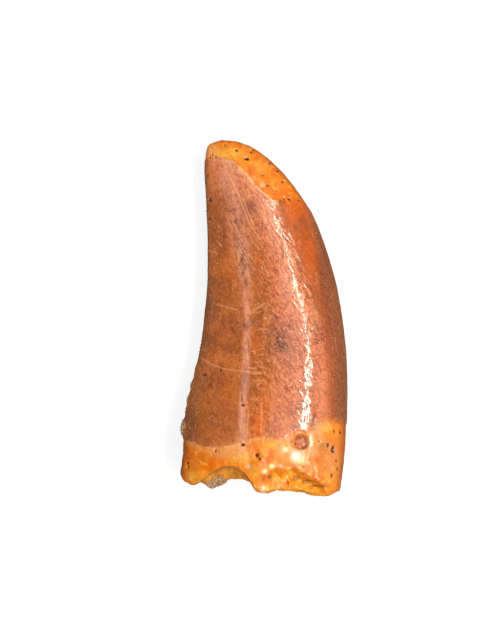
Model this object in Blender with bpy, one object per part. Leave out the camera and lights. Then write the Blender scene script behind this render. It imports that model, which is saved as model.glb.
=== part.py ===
"""A fossil tooth crown of a large meat-eating dinosaur, lying on its side.

The tooth is one solid: enamel, dentine and the specks of sandstone cemented to it have become
one stone. Its height runs along Y with the tip at +Y, its width along X with the keeled, hollow
edge at -X, and its thickness along Z. It rests on a small flat spot at Z = 0.

Sizes are in millimetres, and MM turns them into Blender's metres when the mesh is made.
"""

import math

import bmesh
import bpy
import numpy as np
from mathutils import Vector, noise

MM = 0.001

# Driving dimensions of the crown.
BASE_THICKNESS = 11.3
FLAT_SPOT_DEPTH = 0.2      # how deep the resting spot is worn into the rounded underside
UPPER_EDGE_POWER = 0.5     # how round the front edge is above: 0.5 is an ellipse
LOWER_EDGE_POWER = 0.6     # and beneath, where it is a little sharper
LOWER_KEEL_SHARE = 0.9     # how sharp the keel is beneath, as a share of the upper side

# Cross-sections from the broken base to the tip. Each joins a point of the keeled edge to a
# point of the rounded front edge, and gives the thickness as a share of BASE_THICKNESS, the
# height of its middle and how sharp the keel is (0.5 is round, 0.8 is a sharp keel).
#   keel x, keel y, front x, front y, thickness, middle z, keel power
SECTIONS = [
    (-11.80, -22.25, 11.15, -22.75, 0.930, 6.20, 0.56),
    (-11.65, -20.35, 11.55, -19.50, 0.980, 6.15, 0.60),
    (-11.40, -17.95, 11.73, -16.25, 1.000, 6.02, 0.68),
    (-11.10, -14.70, 11.83, -12.45, 1.000, 5.78, 0.74),
    (-10.45, -11.00, 11.83, -8.20, 0.970, 5.42, 0.78),
    (-9.60, -7.50, 11.63, -4.25, 0.910, 5.02, 0.78),
    (-8.80, -3.65, 11.13, 0.00, 0.850, 4.75, 0.78),
    (-8.35, 0.15, 10.38, 4.25, 0.770, 4.52, 0.77),
    (-8.00, 3.80, 9.18, 8.60, 0.680, 4.32, 0.76),
    (-7.90, 7.75, 7.63, 13.00, 0.595, 4.15, 0.74),
    (-7.95, 12.00, 5.73, 16.65, 0.505, 4.02, 0.72),
    (-8.10, 16.10, 3.53, 19.65, 0.420, 3.92, 0.68),
    (-8.30, 19.65, 1.03, 22.25, 0.335, 3.85, 0.62),
    (-8.35, 22.15, -1.42, 24.00, 0.250, 3.80, 0.55),
    (-8.10, 23.95, -3.40, 24.80, 0.165, 3.76, 0.50),
    (-7.35, 24.70, -4.40, 24.97, 0.095, 3.74, 0.50),
]
TIP = (-5.9, 25.0, 3.73)

# How many rows of faces lie between one section and the next, base first.
ROWS = [5, 6, 5, 3, 3, 3, 3, 3, 3, 3, 3, 3, 3, 2, 2, 2]
FRONT_COLUMNS = 54
BACK_COLUMNS = 26
BREAK_RINGS = [0.965, 0.91, 0.84, 0.75, 0.64, 0.51, 0.36, 0.19]

# Where the outer wall is broken off at the base, as x and y: on the upper side it leaves an
# arch beside the keel, and the lower wall reaches nearly straight across.
UPPER_BREAK = [
    (-11.8, -22.25), (-11.4, -22.9), (-10.5, -23.3), (-9.3, -23.2), (-8.5, -22.5),
    (-7.5, -21.6), (-6.6, -21.3), (-5.9, -20.85), (-4.8, -20.75), (-3.6, -21.0),
    (-2.7, -21.7), (-1.8, -23.0), (-1.1, -24.1), (-0.2, -24.4), (1.0, -24.3), (2.4, -24.1),
    (3.6, -24.25), (4.7, -24.1), (5.6, -24.2), (6.8, -24.65), (8.2, -24.9), (9.2, -24.9),
    (10.3, -24.5), (11.0, -23.75), (11.15, -22.75),
]
LOWER_BREAK = [
    (-11.8, -22.25), (-11.2, -23.0), (-10.0, -23.1), (-7.6, -23.2), (-5.0, -23.0),
    (-2.0, -23.2), (0.5, -23.6), (3.0, -23.7), (6.0, -23.9), (8.5, -24.2), (10.4, -24.0),
    (11.15, -22.75),
]
BREAK_REACH = 6.5        # how far up the crown the rows bend to follow the break
BREAK_SOFTNESS = 0.05    # how softly the upper and lower lines of the break meet at the edges
BREAK_MIDDLE = (-0.6, -22.9, 5.4)
BREAK_FULLNESS = 0.25    # how far the broken dentine stands proud of a straight line
PULP_DEPTH = 1.4         # the sediment in the pulp cavity lies this far inside the break
PULP_WALL = (0.25, 0.6)  # where its wall begins and ends, as shares of the way to the middle
LIP = 0.15               # the rounded lip of the break, as such a share

# Where the enamel ends: the neck line above the base and the edge of the worn tip.
UPPER_NECK = [
    (-11.5, -17.3), (-9.7, -17.9), (-8.0, -18.3), (-5.0, -18.2), (-2.3, -17.4), (0.0, -16.85),
    (2.4, -17.1), (5.0, -16.0), (6.3, -16.2), (8.6, -14.8), (11.6, -15.2),
]
LOWER_NECK = [
    (-11.5, -17.3), (-8.0, -16.6), (-4.0, -16.9), (0.0, -17.4), (4.0, -16.5), (8.0, -15.4),
    (11.6, -15.2),
]
TIP_WEAR = [
    (-8.5, 22.2), (-6.2, 22.3), (-4.1, 21.8), (-3.0, 20.8), (-0.85, 18.3), (1.1, 16.6),
    (3.0, 16.1), (6.2, 15.9),
]
ENAMEL_STEP = 0.14
STEP_REACH = 0.15        # the step is spread this far to each side of its line

# The second hollow in the broken base, beneath this line, and how deep it is.
HOLLOW_EDGE = [
    (-0.2, -24.6), (0.35, -22.6), (0.9, -21.5), (1.8, -21.2), (3.0, -21.35), (4.2, -21.0),
    (5.0, -21.6), (6.6, -22.5), (7.6, -23.1), (9.2, -24.6),
]
HOLLOW_DEPTH = 1.1
HOLLOW_LIP = 0.55            # its depth at the rim of the break, as a share
HOLLOW_ENDS = 1.2
HOLLOW_WALL = (-0.2, 1.0)    # how far below the line its wall begins and ends
HOLLOW_FLOOR = (1.4, 2.8)    # how far below the line its floor begins and ends rising again

# The long ridge and the shallow groove on the upper side, as x and y from neck to tip.
RIDGE = [
    (-3.3, -17.5), (-3.0, -11.0), (-2.7, -5.0), (-2.6, 2.0), (-2.9, 9.0), (-3.7, 14.5),
    (-5.0, 19.0),
]
RIDGE_SIZE = (0.24, 0.75)    # height and half width
GROOVE = [(-0.8, -17.5), (-0.7, -11.0), (-0.6, -5.0), (-0.7, 1.0), (-1.3, 6.0), (-2.0, 10.0)]
GROOVE_SIZE = (-0.38, 1.25)

# Lumps and pits as x, y, radius and height, on the upper side.
UPPER_MARKS = [
    (5.3, -17.65, 0.95, -0.50),     # the round crater under the neck
    (-0.85, -21.2, 1.1, 0.28),      # the boss between the two hollows
    (9.6, -18.9, 0.6, -0.28),
    (8.9, -18.1, 0.5, -0.18),
    (-0.9, -19.5, 0.5, -0.20),
    (1.0, -20.9, 0.6, 0.15),
    (8.7, -20.9, 0.9, -0.15),
    (-8.2, -22.0, 0.7, -0.30),
]
LOWER_MARKS = [
    (2.0, -20.3, 1.3, -0.30),
    (-6.8, -19.6, 0.9, -0.25),
    (8.2, -19.0, 1.1, -0.30),
    (-5.5, 6.0, 1.2, -0.12),
]
# Crumbs of sandstone on the keel, as x, y, z, radius and how far they stand out.
KEEL_CRUMBS = [
    (-11.5, -15.6, 5.6, 1.25, 0.42),
    (-11.2, -13.2, 5.4, 0.8, 0.16),
    (-10.7, -11.7, 5.4, 0.8, 0.16),
    (-10.2, -9.6, 5.2, 0.7, 0.14),
    (-9.6, -7.6, 5.1, 0.7, 0.10),
]
# The lump of sandstone that hangs from the break beside the keel.
BREAK_LUMP = (-6.6, -23.0, 4.0, 1.8, 0.95)

# How rough the surfaces are: the height of the lumps and their size.
WALL_ROUGHNESS = (0.06, 1.3)
BREAK_ROUGHNESS = (0.35, 2.2)
CROWN_SMOOTHNESS = 0.3    # the enamel's share of the wall's roughness


def smooth_step(low, high, value):
    """0 below low, 1 above high, and a smooth rise between them."""
    share = np.clip((value - low) / (high - low), 0.0, 1.0)
    return share * share * (3.0 - 2.0 * share)


def line_through(points, at):
    """The second coordinate of a smooth line through points, where its first one is at."""
    xs = np.array([point[0] for point in points])
    ys = np.array([point[1] for point in points])
    slopes = np.gradient(ys, xs)
    at = np.clip(at, xs[0], xs[-1])
    i = np.clip(np.searchsorted(xs, at) - 1, 0, len(xs) - 2)
    step = xs[i + 1] - xs[i]
    u = (at - xs[i]) / step
    start = ys[i] * (2 * u**3 - 3 * u**2 + 1) + slopes[i] * step * (u**3 - 2 * u**2 + u)
    return start + ys[i + 1] * (3 * u**2 - 2 * u**3) + slopes[i + 1] * step * (u**3 - u**2)


def tip_section():
    """The cross-section that has shrunk to the point of the tip."""
    x, y, z = TIP
    return (x, y, x, y, 0.0, z, UPPER_EDGE_POWER)


def mirrored_section(section):
    """The section before the tip as seen across it, which rounds the tip off."""
    keel_x, keel_y, front_x, front_y, thickness, middle, power = section
    return (front_x, front_y, keel_x, keel_y, -thickness, middle, power)


def section_at(place):
    """The cross-section at place: 0 is the base, and each whole number one section higher."""
    rows = np.array([SECTIONS[0]] + SECTIONS + [tip_section(), mirrored_section(SECTIONS[-1])])
    rows[0] = 2 * rows[1] - rows[2]
    i = min(int(place), len(SECTIONS) - 1)
    u = place - i
    before, start, end, after = rows[i : i + 4]
    curve = 2 * start + (end - before) * u
    curve = curve + (2 * before - 5 * start + 4 * end - after) * u**2
    return (curve + (3 * start - before - 3 * end + after) * u**3) / 2


def bulge(share, keel_power, edge_power):
    """How high the side bulges at share of the width, 0 at the keel and 1 at the front edge."""
    peak = keel_power / (keel_power + edge_power)
    top = peak**keel_power * (1 - peak) ** edge_power
    return share**keel_power * (1 - share) ** edge_power / top


def around():
    """The angles of the columns: from the front edge over the upper side, then back beneath."""
    front = np.linspace(0, math.pi, FRONT_COLUMNS, endpoint=False)
    back = np.linspace(math.pi, 2 * math.pi, BACK_COLUMNS, endpoint=False)
    return np.concatenate([front, back])


def ring_at(place, angles):
    """One ring of points round the crown, before any relief."""
    keel_x, keel_y, front_x, front_y, thickness, middle, power = section_at(place)
    share = (1 + np.cos(angles)) / 2
    x = keel_x + (front_x - keel_x) * share
    y = keel_y + (front_y - keel_y) * share
    upper = np.sin(angles) >= 0
    above = bulge(share, power, UPPER_EDGE_POWER)
    below = bulge(share, power * LOWER_KEEL_SHARE, LOWER_EDGE_POWER)
    z = middle + BASE_THICKNESS / 2 * thickness * np.where(upper, above, -below)
    bend = np.clip(1 - (y - base_line(x)) / BREAK_REACH, 0, 1) ** 2
    y = y + (break_height(x, 1.0, angles) - base_line(x)) * bend
    return np.stack([x, y, z], axis=-1)


def base_line(x):
    """The height of the first section's chord at x."""
    keel_x, keel_y, front_x, front_y = SECTIONS[0][:4]
    return keel_y + (front_y - keel_y) * (x - keel_x) / (front_x - keel_x)


def break_height(x, share, angles):
    """Where the break lies along Y: share is 1 at the wall and 0 in the middle."""
    across = np.sqrt(1 + BREAK_SOFTNESS - (share * np.cos(angles)) ** 2)
    level = share * np.sin(angles) / across
    upper = smooth_step(-1.0, 1.0, level)
    return line_through(UPPER_BREAK, x) * upper + line_through(LOWER_BREAK, x) * (1 - upper)


def crown_rings(angles):
    """All rings from the base up to the last one before the tip."""
    places = [i + k / count for i, count in enumerate(ROWS) for k in range(count)]
    return np.array([ring_at(place, angles) for place in places])


def outward(rings):
    """The outward direction at each point of the rings."""
    along = np.gradient(rings, axis=0)
    across = np.roll(rings, -1, axis=1) - np.roll(rings, 1, axis=1)
    normal = np.cross(along, across)
    return normal / np.linalg.norm(normal, axis=-1, keepdims=True)


def mark(x, y, at_x, at_y, radius, height):
    """A round lump, or a pit where height is below zero."""
    away = ((x - at_x) ** 2 + (y - at_y) ** 2) / radius**2
    return height * np.exp(-(away**1.5))


def long_mark(x, y, line, size):
    """A ridge or groove that follows a line up the crown."""
    height, half_width = size
    middle = line_through([(point[1], point[0]) for point in line], y)
    ends = smooth_step(line[0][1] - 1.0, line[0][1] + 0.5, y)
    ends = ends * (1 - smooth_step(line[-1][1] - 5.0, line[-1][1], y))
    return height * ends * np.exp(-(((x - middle) / half_width) ** 2))


def rough(points, roughness):
    """Lumps of the given height and size at each point."""
    height, size = roughness
    flat = (points / size).reshape(-1, 3)
    values = [noise.fractal(Vector(p), 0.9, 2.1, 3) for p in flat]
    return height * np.array(values).reshape(points.shape[:-1])


def bare_below(x, y, neck):
    """1 below the neck line, where the enamel is missing, and 0 above it."""
    return 1 - smooth_step(-STEP_REACH, STEP_REACH, y - line_through(neck, x))


def worn_tip(x, y):
    """1 where the tip is worn through to the dentine, and 0 elsewhere."""
    return smooth_step(-STEP_REACH, STEP_REACH, y - line_through(TIP_WEAR, x))


def second_hollow(x, y):
    """0 outside the second hollow of the break and 1 where it is deepest."""
    below = line_through(HOLLOW_EDGE, x) - y
    ends = smooth_step(0.0, HOLLOW_ENDS, x - HOLLOW_EDGE[0][0])
    ends = ends * smooth_step(0.0, HOLLOW_ENDS, HOLLOW_EDGE[-1][0] - x)
    rise = (1 - HOLLOW_LIP) * smooth_step(*HOLLOW_FLOOR, below)
    return ends * (smooth_step(*HOLLOW_WALL, below) - rise)


def upper_relief(x, y):
    """How far the surface of the upper side stands off its smooth form."""
    relief = long_mark(x, y, RIDGE, RIDGE_SIZE) + long_mark(x, y, GROOVE, GROOVE_SIZE)
    relief = relief - ENAMEL_STEP * (bare_below(x, y, UPPER_NECK) + worn_tip(x, y))
    relief = relief - HOLLOW_DEPTH * second_hollow(x, y)
    for spot in UPPER_MARKS:
        relief = relief + mark(x, y, *spot)
    return relief


def lower_relief(x, y):
    """The same for the side that it rests on."""
    relief = -ENAMEL_STEP * (bare_below(x, y, LOWER_NECK) + worn_tip(x, y))
    for spot in LOWER_MARKS:
        relief = relief + mark(x, y, *spot)
    return relief


def add_relief(rings, angles):
    """The rings with the ridge, groove, steps, pits and crumbs laid on them."""
    x, y = rings[..., 0], rings[..., 1]
    side = np.sin(angles)
    flank = smooth_step(0.0, 0.3, np.abs(side))
    relief = np.where(side >= 0, upper_relief(x, y), lower_relief(x, y)) * flank
    relief = relief + rough(rings, WALL_ROUGHNESS) * (
        CROWN_SMOOTHNESS + bare_below(x, y, UPPER_NECK)
    )
    for crumb_x, crumb_y, crumb_z, radius, height in KEEL_CRUMBS:
        away = np.linalg.norm(rings - (crumb_x, crumb_y, crumb_z), axis=-1) / radius
        relief = relief + height * np.exp(-(away**3))
    return rings + outward(rings) * relief[..., None]


def break_rings(rim, angles):
    """Rings that close the broken base, from the rim inwards."""
    middle = np.array(BREAK_MIDDLE)
    offset = rim[:, 1] - break_height(rim[:, 0], 1.0, angles)
    rings = []
    for share in BREAK_RINGS:
        ring = middle + (rim - middle) * share
        inside = smooth_step(*PULP_WALL, 1 - share)
        edge = smooth_step(0.0, LIP, 1 - share)
        ring[:, 1] = break_height(ring[:, 0], share, angles) + offset * share**4
        ring[:, 1] += PULP_DEPTH * inside - BREAK_FULLNESS * edge * (1 - inside)
        ring[:, 1] += rough(ring * (1, 0, 1), BREAK_ROUGHNESS) * edge
        rings.append(ring)
    return np.array(rings)


def hang_lump(points):
    """The points with the lump of sandstone pulled out of the break."""
    x, y, z, radius, reach = BREAK_LUMP
    away = np.linalg.norm(points - (x, y, z), axis=-1) / radius
    pulled = points.copy()
    pulled[..., 1] -= reach * np.exp(-(away**4))
    return pulled


def skin(mesh, rings, first, last):
    """Faces between neighbouring rings, with a fan at the first and at the last point."""
    columns = rings.shape[1]
    verts = [[mesh.verts.new(Vector(p) * MM) for p in ring] for ring in rings.tolist()]
    start = mesh.verts.new(Vector(first) * MM)
    end = mesh.verts.new(Vector(last) * MM)
    for low, high in zip(verts, verts[1:]):
        for j in range(columns):
            k = (j + 1) % columns
            mesh.faces.new((low[j], low[k], high[k], high[j]))
    for j in range(columns):
        k = (j + 1) % columns
        mesh.faces.new((start, verts[0][k], verts[0][j]))
        mesh.faces.new((end, verts[-1][j], verts[-1][k]))


def rest_on_flat_spot(points):
    """The points over the origin and down on Z = 0, with what would go below it worn flat."""
    low, high = points.min(axis=(0, 1)), points.max(axis=(0, 1))
    middle = (low + high) / 2
    rested = points - (middle[0], middle[1], low[2] + FLAT_SPOT_DEPTH)
    rested[..., 2] = np.maximum(rested[..., 2], 0.0)
    return rested


def fossil_stone():
    """The colour and shine of the enamel, which covers most of the tooth."""
    material = bpy.data.materials.new("fossil_enamel")
    material.use_nodes = True
    shader = material.node_tree.nodes["Principled BSDF"]
    shader.inputs["Base Color"].default_value = (0.43, 0.13, 0.045, 1.0)
    shader.inputs["Roughness"].default_value = 0.35
    shader.inputs["Metallic"].default_value = 0.0
    return material


def make_tooth():
    """The whole tooth as one object."""
    angles = around()
    crown = add_relief(crown_rings(angles), angles)
    tip = np.tile(np.array(TIP), (1, len(angles), 1))
    rings = np.concatenate([break_rings(crown[0], angles)[::-1], crown, tip])
    rings = rest_on_flat_spot(hang_lump(rings))
    mesh = bmesh.new()
    skin(mesh, rings[:-1], rings[0].mean(axis=0), rings[-1, 0])
    bmesh.ops.recalc_face_normals(mesh, faces=mesh.faces)
    data = bpy.data.meshes.new("tooth")
    mesh.to_mesh(data)
    mesh.free()
    data.materials.append(fossil_stone())
    data.shade_smooth()
    data.set_sharp_from_angle(angle=math.radians(50))
    tooth = bpy.data.objects.new("tooth", data)
    bpy.context.scene.collection.objects.link(tooth)
    return tooth


for old in list(bpy.data.objects):
    bpy.data.objects.remove(old)
make_tooth()
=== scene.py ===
"""The looks of a fossil tooth crown of a large meat-eating dinosaur, lying on its side.

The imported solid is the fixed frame. The tooth is modelled again here with the relief that a hand
lens shows, and sizes are in millimetres until MM turns them into Blender's metres.
"""

import math

import bpy
import numpy as np
from mathutils import Euler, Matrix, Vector, noise


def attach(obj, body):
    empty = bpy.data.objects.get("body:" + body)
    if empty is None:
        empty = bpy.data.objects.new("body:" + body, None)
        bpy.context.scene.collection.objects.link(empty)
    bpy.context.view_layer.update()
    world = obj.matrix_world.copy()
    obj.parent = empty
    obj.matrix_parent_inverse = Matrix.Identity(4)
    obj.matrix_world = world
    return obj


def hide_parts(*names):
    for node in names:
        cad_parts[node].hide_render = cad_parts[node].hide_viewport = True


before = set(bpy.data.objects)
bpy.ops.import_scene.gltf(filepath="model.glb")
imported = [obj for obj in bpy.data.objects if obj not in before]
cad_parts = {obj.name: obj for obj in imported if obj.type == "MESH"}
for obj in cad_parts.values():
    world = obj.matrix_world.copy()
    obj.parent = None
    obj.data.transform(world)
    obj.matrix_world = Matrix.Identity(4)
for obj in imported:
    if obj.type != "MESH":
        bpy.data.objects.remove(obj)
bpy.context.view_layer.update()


# The view. A tooth that lies on its side is seen from straight above, with its tip away from the
# viewer. A long lens keeps the outline almost free of perspective.
MM = 0.001
IMAGE_HEIGHT = 618
PIXEL = 0.14124                    # what one picture element spans at the tooth's outline
VIEW_CENTRE = (-1.98, 1.13)
OUTLINE_HEIGHT = 5.0               # how high above the table the widest outline lies
LENS = 135.0
SENSOR = 36.0
view_distance = IMAGE_HEIGHT * PIXEL * LENS / SENSOR

camera = bpy.data.objects.new("camera", bpy.data.cameras.new("camera"))
camera.data.lens = LENS
camera.data.sensor_width = SENSOR
camera.data.clip_start = 0.01
camera.location = Vector((*VIEW_CENTRE, OUTLINE_HEIGHT + view_distance)) * MM
bpy.context.scene.collection.objects.link(camera)
bpy.context.scene.camera = camera


# The tooth. Enamel, a fraction of a millimetre thick, covers dentine that the fossil has stained
# bright orange. The tip is worn through to it, the base is broken off below the neck, and crumbs
# of the sandstone that it lay in are cemented along the keel and in the pulp cavity.
BASE_THICKNESS = 11.3
FLAT_SPOT_DEPTH = 0.2
UPPER_EDGE_POWER = 0.5
LOWER_EDGE_POWER = 0.6
LOWER_KEEL_SHARE = 0.9

# Cross-sections from the broken base to the tip: a point of the keeled edge, a point of the
# rounded front edge, the thickness as a share, the height of the middle and the keel's sharpness.
SECTIONS = [
    (-11.80, -22.25, 11.15, -22.75, 0.930, 6.20, 0.56),
    (-11.65, -20.35, 11.55, -19.50, 0.980, 6.15, 0.60),
    (-11.40, -17.95, 11.73, -16.25, 1.000, 6.02, 0.68),
    (-11.10, -14.70, 11.83, -12.45, 1.000, 5.78, 0.74),
    (-10.45, -11.00, 11.83, -8.20, 0.970, 5.42, 0.78),
    (-9.60, -7.50, 11.63, -4.25, 0.910, 5.02, 0.78),
    (-8.80, -3.65, 11.13, 0.00, 0.850, 4.75, 0.78),
    (-8.35, 0.15, 10.38, 4.25, 0.770, 4.52, 0.77),
    (-8.00, 3.80, 9.18, 8.60, 0.680, 4.32, 0.76),
    (-7.90, 7.75, 7.63, 13.00, 0.595, 4.15, 0.74),
    (-7.95, 12.00, 5.73, 16.65, 0.505, 4.02, 0.72),
    (-8.10, 16.10, 3.53, 19.65, 0.420, 3.92, 0.68),
    (-8.30, 19.65, 1.03, 22.25, 0.335, 3.85, 0.62),
    (-8.35, 22.15, -1.42, 24.00, 0.250, 3.80, 0.55),
    (-8.10, 23.95, -3.40, 24.80, 0.165, 3.76, 0.50),
    (-7.35, 24.70, -4.40, 24.97, 0.095, 3.74, 0.50),
]
TIP = (-5.9, 25.0, 3.73)
TIP_GAP = 0.05              # the last ring stands this share of a section before the point

# The surface is a net of rings and columns, finer on the side that shows.
UPPER_COLUMNS = 172
LOWER_COLUMNS = 76
RING_STEP = 0.15
BREAK_RINGS = 42

# Where the outer wall is broken off at the base, above and beneath.
UPPER_BREAK = [
    (-11.8, -22.25), (-11.4, -22.9), (-10.5, -23.3), (-9.3, -23.2), (-8.5, -22.5), (-7.5, -21.6),
    (-6.6, -21.3), (-5.9, -20.85), (-4.8, -20.75), (-3.6, -21.0), (-2.7, -21.7), (-1.8, -23.0),
    (-1.1, -24.1), (-0.2, -24.4), (1.0, -24.3), (2.4, -24.1), (3.6, -24.25), (4.7, -24.1),
    (5.6, -24.2), (6.8, -24.65), (8.2, -24.9), (9.2, -24.9), (10.3, -24.5), (11.0, -23.75),
    (11.15, -22.75),
]
LOWER_BREAK = [
    (-11.8, -22.25), (-11.2, -23.0), (-10.0, -23.1), (-7.6, -23.2), (-5.0, -23.0), (-2.0, -23.2),
    (0.5, -23.6), (3.0, -23.7), (6.0, -23.9), (8.5, -24.2), (10.4, -24.0), (11.15, -22.75),
]
BREAK_REACH = 6.5
BREAK_SOFTNESS = 0.05
BREAK_MIDDLE = (-0.6, -22.9, 5.4)
BREAK_FULLNESS = 0.25
PULP_DEPTH = 1.4
PULP_WALL = (0.25, 0.6)
LIP = 0.15

# Where the enamel ends.
UPPER_NECK = [
    (-11.5, -17.08), (-9.7, -17.68), (-8.0, -18.08), (-5.0, -17.98), (-2.3, -17.18), (0.0, -16.63),
    (2.4, -16.88), (5.0, -15.78), (6.3, -15.98), (8.6, -14.58), (11.6, -14.98),
]
LOWER_NECK = [
    (-11.5, -17.3), (-8.0, -16.6), (-4.0, -16.9), (0.0, -17.4), (4.0, -16.5), (8.0, -15.4),
    (11.6, -15.2),
]
TIP_WEAR = [
    (-8.5, 22.2), (-6.2, 22.3), (-4.1, 21.8), (-3.0, 20.8), (-0.85, 18.3), (1.1, 16.6), (3.0, 16.1),
    (6.2, 15.9),
]
ENAMEL_STEP = 0.14
STEP_REACH = 0.15
RIM_HEIGHT = 0.07           # the enamel's edge stands up a little along the worn tip
RIM_WIDTH = 0.28
WEAR_WAVES = 0.4            # how wavy the edge of the worn tip is, as a share of the neck's
WEAR_BLUR = 0.88            # how much softer that edge gets towards the front
WEAR_BLUR_REACH = (0.5, 3.5)
NECK_BLUR = 0.75            # and the neck's edge
NECK_BLUR_REACH = (5.5, 8.0)

HOLLOW_EDGE = [
    (-0.2, -24.45), (0.35, -22.45), (0.9, -21.35), (1.8, -21.05), (3.0, -21.2), (4.2, -20.85),
    (5.0, -21.45), (6.6, -22.35), (7.6, -22.95), (9.2, -24.45),
]
HOLLOW_DEPTH = 1.1
HOLLOW_LIP = 0.55
HOLLOW_ENDS = 1.2
HOLLOW_WALL = (-0.2, 1.0)
HOLLOW_FLOOR = (1.4, 2.8)

# The long ridge as points of its line, its height across that line with a steep right flank and a
# shallow groove beyond it, how strong both are up the crown, and the half width of its pale band, a
# pink tone that is partly painted sheen on the ridge's crest.
RIDGE = [
    (-3.0, -17.4), (-3.1, -14.5), (-2.95, -11.7), (-2.6, -7.5), (-2.45, -4.0), (-2.35, -0.4),
    (-2.4, 3.8), (-2.9, 8.0), (-3.3, 12.3), (-3.95, 16.5), (-5.0, 19.0),
]
RIDGE_PROFILE = [
    (-2.2, 0.0), (-0.8, 0.03), (-0.45, 0.04), (0.0, -0.05), (0.45, -0.16), (0.7, -0.2), (1.1, -0.2),
    (2.4, -0.1), (3.8, 0.0),
]
RIDGE_STRENGTH = [
    (0.3, -19.0), (1.0, -16.0), (1.0, 2.0), (0.5, 9.0), (0.35, 15.0), (0.0, 20.0),
]
RIDGE_TONE = [
    (0.6, -17.5), (0.5, -10.0), (0.5, 0.0), (0.8, 5.0), (1.3, 10.0), (1.5, 17.0), (1.2, 21.0),
]
GROOVE_OFFSET = 1.7

# A low crest, whose right flank carries the streak of gloss up to the tip, as points of its line
# and as its height at some places up the crown.
CREST = [
    (4.5, -6.0), (4.0, -1.0), (3.6, 1.7), (2.8, 4.0), (2.3, 6.5), (1.6, 9.5), (0.3, 12.3),
    (-1.2, 16.1), (-3.0, 18.5), (-4.6, 20.5),
]
CREST_HEIGHT = [
    (0.0, -6.0), (0.16, -1.0), (0.44, 3.0), (0.66, 8.0), (0.75, 12.0), (0.75, 17.0), (0.58, 20.5),
    (0.0, 24.0),
]
CREST_HALF_WIDTH = 3.2
# Where the streak of gloss lies right of the crest, and the half width of the painted highlight along
# it.
STREAK_OFFSET = 1.3
STREAK_HALF_WIDTH = 1.1

# The rosy front half of the side lies between these lines. Its salmon tone is partly the enamel's
# own and partly painted sheen, where the side faces the soft light.
ROSE_LEFT = [
    (-0.3, -17.0), (0.85, -11.7), (1.1, -6.0), (1.0, -1.8), (0.55, 2.4), (-0.3, 8.0), (-2.6, 13.7),
    (-5.0, 18.0), (-6.8, 21.0),
]
ROSE_RIGHT = [
    (10.2, -16.0), (10.2, -11.7), (9.8, -6.0), (8.5, -1.5), (6.6, 2.0), (5.7, 5.2), (4.6, 8.0),
    (3.3, 11.0), (2.4, 14.0), (1.4, 16.5), (-0.6, 18.8), (-3.5, 21.5),
]

# How high wrinkles, frets and scratches stand, and scratches and cracks as lists of points.
LINE_HEIGHT = 0.016
FRET_HEIGHT = 0.014
SCRATCH_HEIGHT = 0.03
SCRATCHES = [
    [(-8.6, -6.0), (-7.3, -6.8), (-5.5, -7.35), (-3.4, -7.6), (-0.3, -7.8)],
    [(-5.8, 22.0), (-3.2, 16.5), (-1.9, 13.0), (-0.6, 10.9)], [(-2.8, 16.5), (-1.2, 12.2)],
    [(-6.6, 1.7), (-5.2, 1.3), (-3.8, 0.9)], [(-1.6, 0.6), (-0.2, 1.45)],
    [(-1.3, 1.6), (-0.7, 1.85)], [(-0.6, -1.75), (0.55, -1.8)], [(0.2, 1.3), (2.2, 0.1)],
    [(-2.2, -7.1), (-1.1, -7.2)], [(-1.6, -7.9), (-0.3, -7.9)], [(-0.2, -7.1), (0.3, -7.2)],
    [(-1.4, -6.3), (-0.7, -6.4)], [(-0.9, -5.4), (-0.3, -5.3)], [(-0.7, -4.6), (-0.1, -4.5)],
    [(-1.6, -8.8), (-0.2, -8.9)], [(1.2, -5.6), (2.3, -7.4)], [(1.6, 4.4), (2.2, 3.1)],
    [(-0.3, -12.0), (-0.4, -16.0)], [(-1.5, 1.0), (0.0, 1.7)], [(-1.4, 0.4), (-0.3, 0.7)],
    [(-2.2, -12.6), (-2.3, -16.4)], [(-8.3, 9.6), (-6.6, 8.9)], [(-6.6, 10.6), (-5.9, 9.9)],
    [(4.2, 9.4), (5.2, 7.6)], [(3.6, 11.6), (4.3, 10.0)], [(5.6, 4.6), (6.6, 3.0)],
    [(0.9, 5.6), (0.2, 6.5)], [(3.9, 2.2), (5.2, 0.4)],
]
SCRATCH_HALF_WIDTH = 0.09
CRACKS = [
    [(-3.25, 8.3), (-2.9, 7.4), (-2.45, 6.7)], [(-2.5, 5.3), (-2.45, 4.5)],
    [(-2.2, -0.9), (-2.2, -1.6)], [(-3.15, 10.4), (-2.7, 9.4)], [(-2.2, -3.2), (-2.1, -4.9)],
    [(-2.7, -6.6), (-2.8, -10.0), (-3.15, -12.3)], [(1.9, 12.1), (3.0, 11.0), (4.0, 9.8)],
    [(6.5, -4.1), (7.2, -3.9), (7.9, -3.1)], [(1.4, -4.1), (2.0, -3.6), (2.8, -3.8)],
    [(5.3, -11.7), (5.9, -12.3), (5.7, -13.0), (6.3, -13.3)],
    [(5.2, -8.9), (6.3, -8.4), (7.3, -8.8)], [(7.2, -6.1), (7.9, -7.1)], [(4.9, -5.4), (5.4, -6.6)],
    [(0.6, 1.0), (2.5, -0.4)], [(1.5, -2.6), (2.4, -1.7), (3.0, -2.4)],
    [(5.0, -10.2), (5.6, -10.9)], [(4.6, 7.6), (5.3, 6.2)], [(-3.7, 13.2), (-3.3, 12.0)],
    [(3.4, -6.2), (4.2, -7.4)], [(5.6, -14.6), (6.0, -13.9), (6.6, -14.4)],
    [(7.0, -0.6), (7.7, -1.6)], [(2.9, -9.6), (3.3, -10.4)],
]
CRACK_HALF_WIDTH = 0.07
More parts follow.
